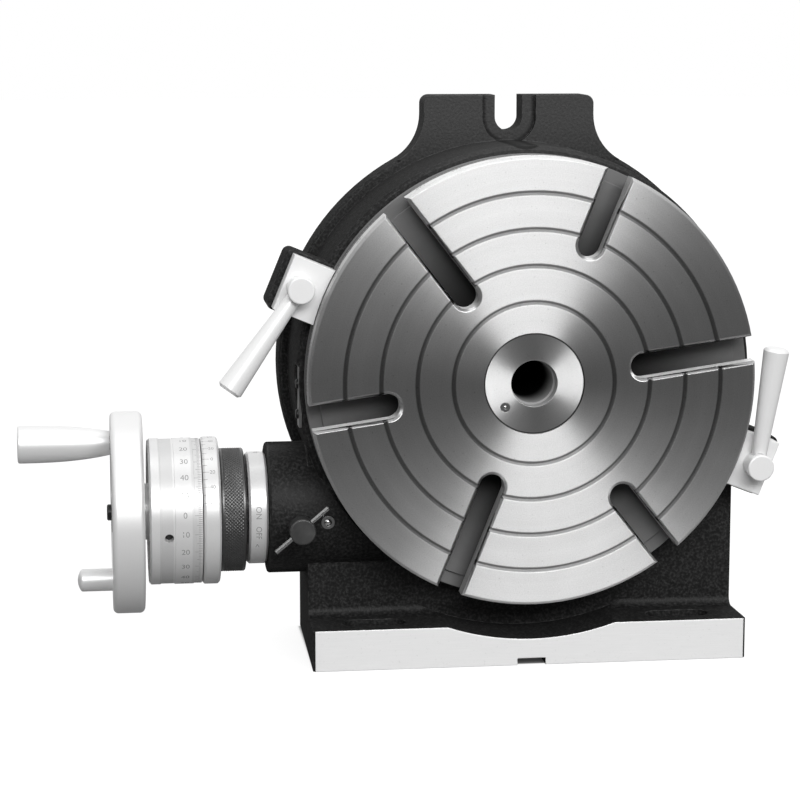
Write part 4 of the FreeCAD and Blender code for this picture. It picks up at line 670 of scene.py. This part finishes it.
def make_collar_words():
    """The two stations of the sleeve, and a small arrow below them."""
    labels = [("ON", -150.6 * MM, 5.5), ("OFF", -150.6 * MM, -15.5), ("<", -151.5 * MM, -31.0)]
    scale_words("collar_words", labels, 3.2 * MM, COLLAR_R, COLLAR_AXIS, "X", "eccentric",
                turned=1)


def clear_of_slots(degrees, half_width):
    """Which places round the rim have metal for a mark of this half width, between the slots' mouths."""
    from_slot = (degrees - FIRST_SLOT + SLOT_STEP / 2) % SLOT_STEP - SLOT_STEP / 2
    return np.radians(np.abs(from_slot)) * TABLE_R > SLOT_HALF + half_width


def make_rim_scale():
    """A line for each degree round the table's rim, and a number for each ten, but none across a slot."""
    degrees = np.arange(360)
    degrees = degrees[clear_of_slots(degrees, 0.5 * MM)]
    length = np.where(degrees % 10 == 0, 6.0, np.where(degrees % 5 == 0, 4.6, 3.2)) * MM
    back = 16.0 * MM
    scale_lines("rim_lines", degrees, back - length, back, 0.25 * MM, TABLE_R, TABLE_AXIS, "Y", "table")
    tens = np.arange(0, 360, 10)
    labels = [(str(n), 7.0 * MM, float(n)) for n in tens[clear_of_slots(tens, 2.5 * MM)]]
    scale_words("rim_numbers", labels, 3.0 * MM, TABLE_R, TABLE_AXIS, "Y", "table", turned=-1)


def make_index_lines():
    """A zero line on the index plate, and shorter lines to both sides of it, half a degree of rim apart."""
    (face, front, low), (back, behind, high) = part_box("index_plate")
    steps = np.arange(-9, 6)
    pitch = math.radians(0.5) * TABLE_R
    length = np.where(steps == 0, 7.0, np.where(steps % 2 == 0, 4.5, 3.0)) * MM
    along, up, out = line_boxes(front + 0.2 * MM, front + 0.2 * MM + length, steps * pitch, 0.3 * MM)
    points = np.stack([face - out, along, up], -1).reshape(-1, 3)
    faces = (np.arange(len(steps))[:, None, None] * 8 + BOX_FACES).reshape(-1, 4)
    solid("index_lines", points, faces, "root", "ink", sharp=0)


def make_knurled_ring():
    """The lock ring. Its profile is turned about the worm's axis. Between two plain lips the radius also
    rises by the smaller of two ridges that climb the band to the left and to the right, so that they meet
    in pointed diamonds."""
    left, right, bore, crest = -171.7 * MM, -157.5 * MM, 18.06 * MM, 35.2 * MM
    lip, edge, deep, around, fine = 2.0 * MM, 1.0 * MM, 0.45 * MM, 110, 8
    columns = around * fine
    pitch = 2 * math.pi * crest / around
    rows = int(round((right - left - 2 * lip) / pitch * fine))
    body_r = crest - 0.1 * MM
    ease = np.linspace(0, math.pi / 2, 6)
    first = np.stack([left + edge * (1 - np.sin(ease)), body_r - edge * (1 - np.cos(ease))], 1)[::-1]
    last = np.stack([right - edge * (1 - np.sin(ease)), body_r - edge * (1 - np.cos(ease))], 1)
    band_x = np.linspace(left + lip, right - lip, rows)
    band = np.stack([band_x, np.full(rows, crest - deep)], 1)
    sides = [np.array([[left, bore]]), first, np.array([[left + lip - 0.2 * MM, body_r]])]
    ends = [np.array([[right - lip + 0.2 * MM, body_r]]), last, np.array([[right, bore]])]
    profile = np.concatenate(sides + [band] + ends)
    knurled = np.concatenate([np.zeros(sum(map(len, sides))), np.ones(rows), np.zeros(sum(map(len, ends)))])
    turn = np.linspace(0, 2 * math.pi, columns, endpoint=False)
    arc = turn * crest
    climb = (arc[None] + profile[:, :1]) / pitch
    fall = (arc[None] - profile[:, :1]) / pitch
    ridge = np.minimum(1 - np.abs(2 * (climb % 1) - 1), 1 - np.abs(2 * (fall % 1) - 1))
    radius = profile[:, 1:] + knurled[:, None] * deep * ridge
    points = on_round(np.repeat(profile[:, :1], columns, 1), turn[None] * radius, 0.0, radius, WORM_AXIS, "X")
    solid("knurled_lock_ring_fine", points.reshape(-1, 3), wrapped_faces(len(profile), columns), "lock_ring",
          "knurl", sharp=28.0, stands_for=("knurled_lock_ring",))


def make_crank_handle():
    """The turning grip. Its outline is turned about its own axis: from a round-edged free end the radius
    falls towards the wheel with the 2.7th power of the way. The free end has the recess of its screw."""
    (left, low_y, low_z), (right, high_y, high_z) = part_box("crank_handle")
    big, small, bore, recess, sink, edge = 10.6 * MM, 6.8 * MM, 4.1 * MM, 6.3 * MM, 5.0 * MM, 1.2 * MM
    way = np.linspace(0, 1, 48)
    ease = np.linspace(0, math.pi / 2, 6)[:-1]
    grip = np.stack([left + edge + way * (right - left - edge), small + (big - small) * (1 - way ** 2.7)], 1)
    nose = np.stack([left + edge * (1 - np.sin(ease)), big - edge * (1 - np.cos(ease))], 1)
    hollow = np.array([[right, bore], [left + sink, bore], [left + sink, recess], [left, recess]])
    profile = np.concatenate([nose, grip, hollow])
    centre = (0.0, (low_y + high_y) / 2, (low_z + high_z) / 2)
    points, faces = spun(profile, centre, 96)
    solid("crank_handle_fine", points, faces, "handle_grip", "aluminium",
          stands_for=("crank_handle",))


make_crank_handle()
make_dial_marks()
make_vernier_marks()
make_collar_words()
make_rim_scale()
make_index_lines()
make_knurled_ring()


# Stage: floor, world and lamps

def make_stage():
    """A white floor and backdrop. The camera sees them white, and the gloss sees the backdrop white. The
    floor keeps a soft shadow, and under the foot it is darkened by a painted shadow. In front, behind the
    camera, the studio is dim below eye level and brighter above it."""
    mesh = bpy.data.meshes.new("floor")
    side, near, far = 6.0, -0.25, 9.0
    z = FLOOR_Z - 0.05 * MM
    mesh.from_pydata([(-side, near, z), (side, near, z), (side, far, z), (-side, far, z)], [],
                     [(0, 1, 2, 3)])
    floor = bpy.data.objects.new("floor", mesh)
    bpy.context.scene.collection.objects.link(floor)
    material, tree, shader, place = material_tree("floor_white", Roughness=0.9, Specular_IOR_Level=0.1)
    shader.inputs["Base Color"].default_value = grey(0.22)
    shader.inputs["Emission Color"].default_value = grey(1.0)
    rays = put(tree, "ShaderNodeLightPath").outputs
    glossy = calc(tree, "MAXIMUM", rays["Is Glossy Ray"], rays["Is Transmission Ray"])
    spot = put(tree, "ShaderNodeSeparateXYZ", {0: place}).outputs
    off_x = calc(tree, "ABSOLUTE", spot["X"])
    off_y = calc(tree, "ABSOLUTE", calc(tree, "SUBTRACT", spot["Y"], FOOT_MIDDLE_Y))
    # Painted shadow: the floor's glow drops under the foot's footprint.
    painted_shadow_under_foot = calc(tree, "MULTIPLY", spread(tree, off_x, FOOT_HALF_X, FOOT_HALF_X - 4 * MM),
                 spread(tree, off_y, FOOT_HALF_Y, FOOT_HALF_Y - 4 * MM))
    lit = calc(tree, "MULTIPLY", rays["Is Camera Ray"], spread(tree, painted_shadow_under_foot, 0.0, 1.0, 0.88, 0.03))
    glow = calc(tree, "ADD", lit, calc(tree, "MULTIPLY", glossy, 0.05))
    tree.links.new(glow, shader.inputs["Emission Strength"])
    mesh.materials.append(material)
    world = bpy.data.worlds.new("studio")
    bpy.context.scene.world = world
    world.use_nodes = True
    sky = world.node_tree
    sky.nodes.clear()
    way = put(sky, "ShaderNodeSeparateXYZ", {0: put(sky, "ShaderNodeTexCoord").outputs["Generated"]}).outputs
    overhead = spread(sky, way["Z"], 0.0, 0.75, STUDIO_DIM, STUDIO_HIGH)
    behind = spread(sky, way["Y"], 0.4, 0.8)
    rays = put(sky, "ShaderNodeLightPath").outputs
    seen = calc(sky, "MAXIMUM", rays["Is Camera Ray"],
                calc(sky, "MAXIMUM", rays["Is Glossy Ray"], rays["Is Transmission Ray"]))
    white = calc(sky, "MAXIMUM", rays["Is Camera Ray"], calc(sky, "MULTIPLY", seen, behind))
    level = calc(sky, "ADD", calc(sky, "MULTIPLY", overhead, calc(sky, "SUBTRACT", 1.0, white)), white)
    light = put(sky, "ShaderNodeBackground", {"Color": grey(1.0), "Strength": level})
    output = put(sky, "ShaderNodeOutputWorld")
    sky.links.new(light.outputs[0], output.inputs["Surface"])


def lamp(name, place, aim, size, power):
    """A soft square lamp that points at a spot."""
    data = bpy.data.lights.new(name, "AREA")
    data.shape = "RECTANGLE"
    data.size, data.size_y = size
    data.energy = power
    thing = bpy.data.objects.new(name, data)
    thing.location = place
    thing.rotation_euler = (Vector(aim) - Vector(place)).to_track_quat("-Z", "Y").to_euler()
    bpy.context.scene.collection.objects.link(thing)


def make_camera():
    """The photograph's camera, upright, with its long side as the sensor's width."""
    data = bpy.data.cameras.new("camera")
    data.lens, data.sensor_width = CAMERA_LENS, SENSOR
    data.clip_start, data.clip_end = 0.05, 50.0
    camera = bpy.data.objects.new("camera", data)
    camera.location = CAMERA_PLACE
    aim = Vector(CAMERA_AIM) - Vector(CAMERA_PLACE)
    camera.rotation_euler = aim.to_track_quat("-Z", "Y").to_euler()
    bpy.context.scene.collection.objects.link(camera)
    bpy.context.scene.camera = camera


make_stage()
lamp("key", (0.22, -2.0, 1.03), (-0.05, 0, 0), (1.9, 0.7), 40.0)
lamp("left_fill", (-1.5, -0.9, 0.45), (-0.1, 0, -0.05), (0.7, 0.9), 0.8)
lamp("top", (0.0, 0.1, 1.4), (0, 0.05, 0), (1.2, 0.8), 2.0)
make_camera()
bpy.context.scene.view_settings.view_transform = "Standard"
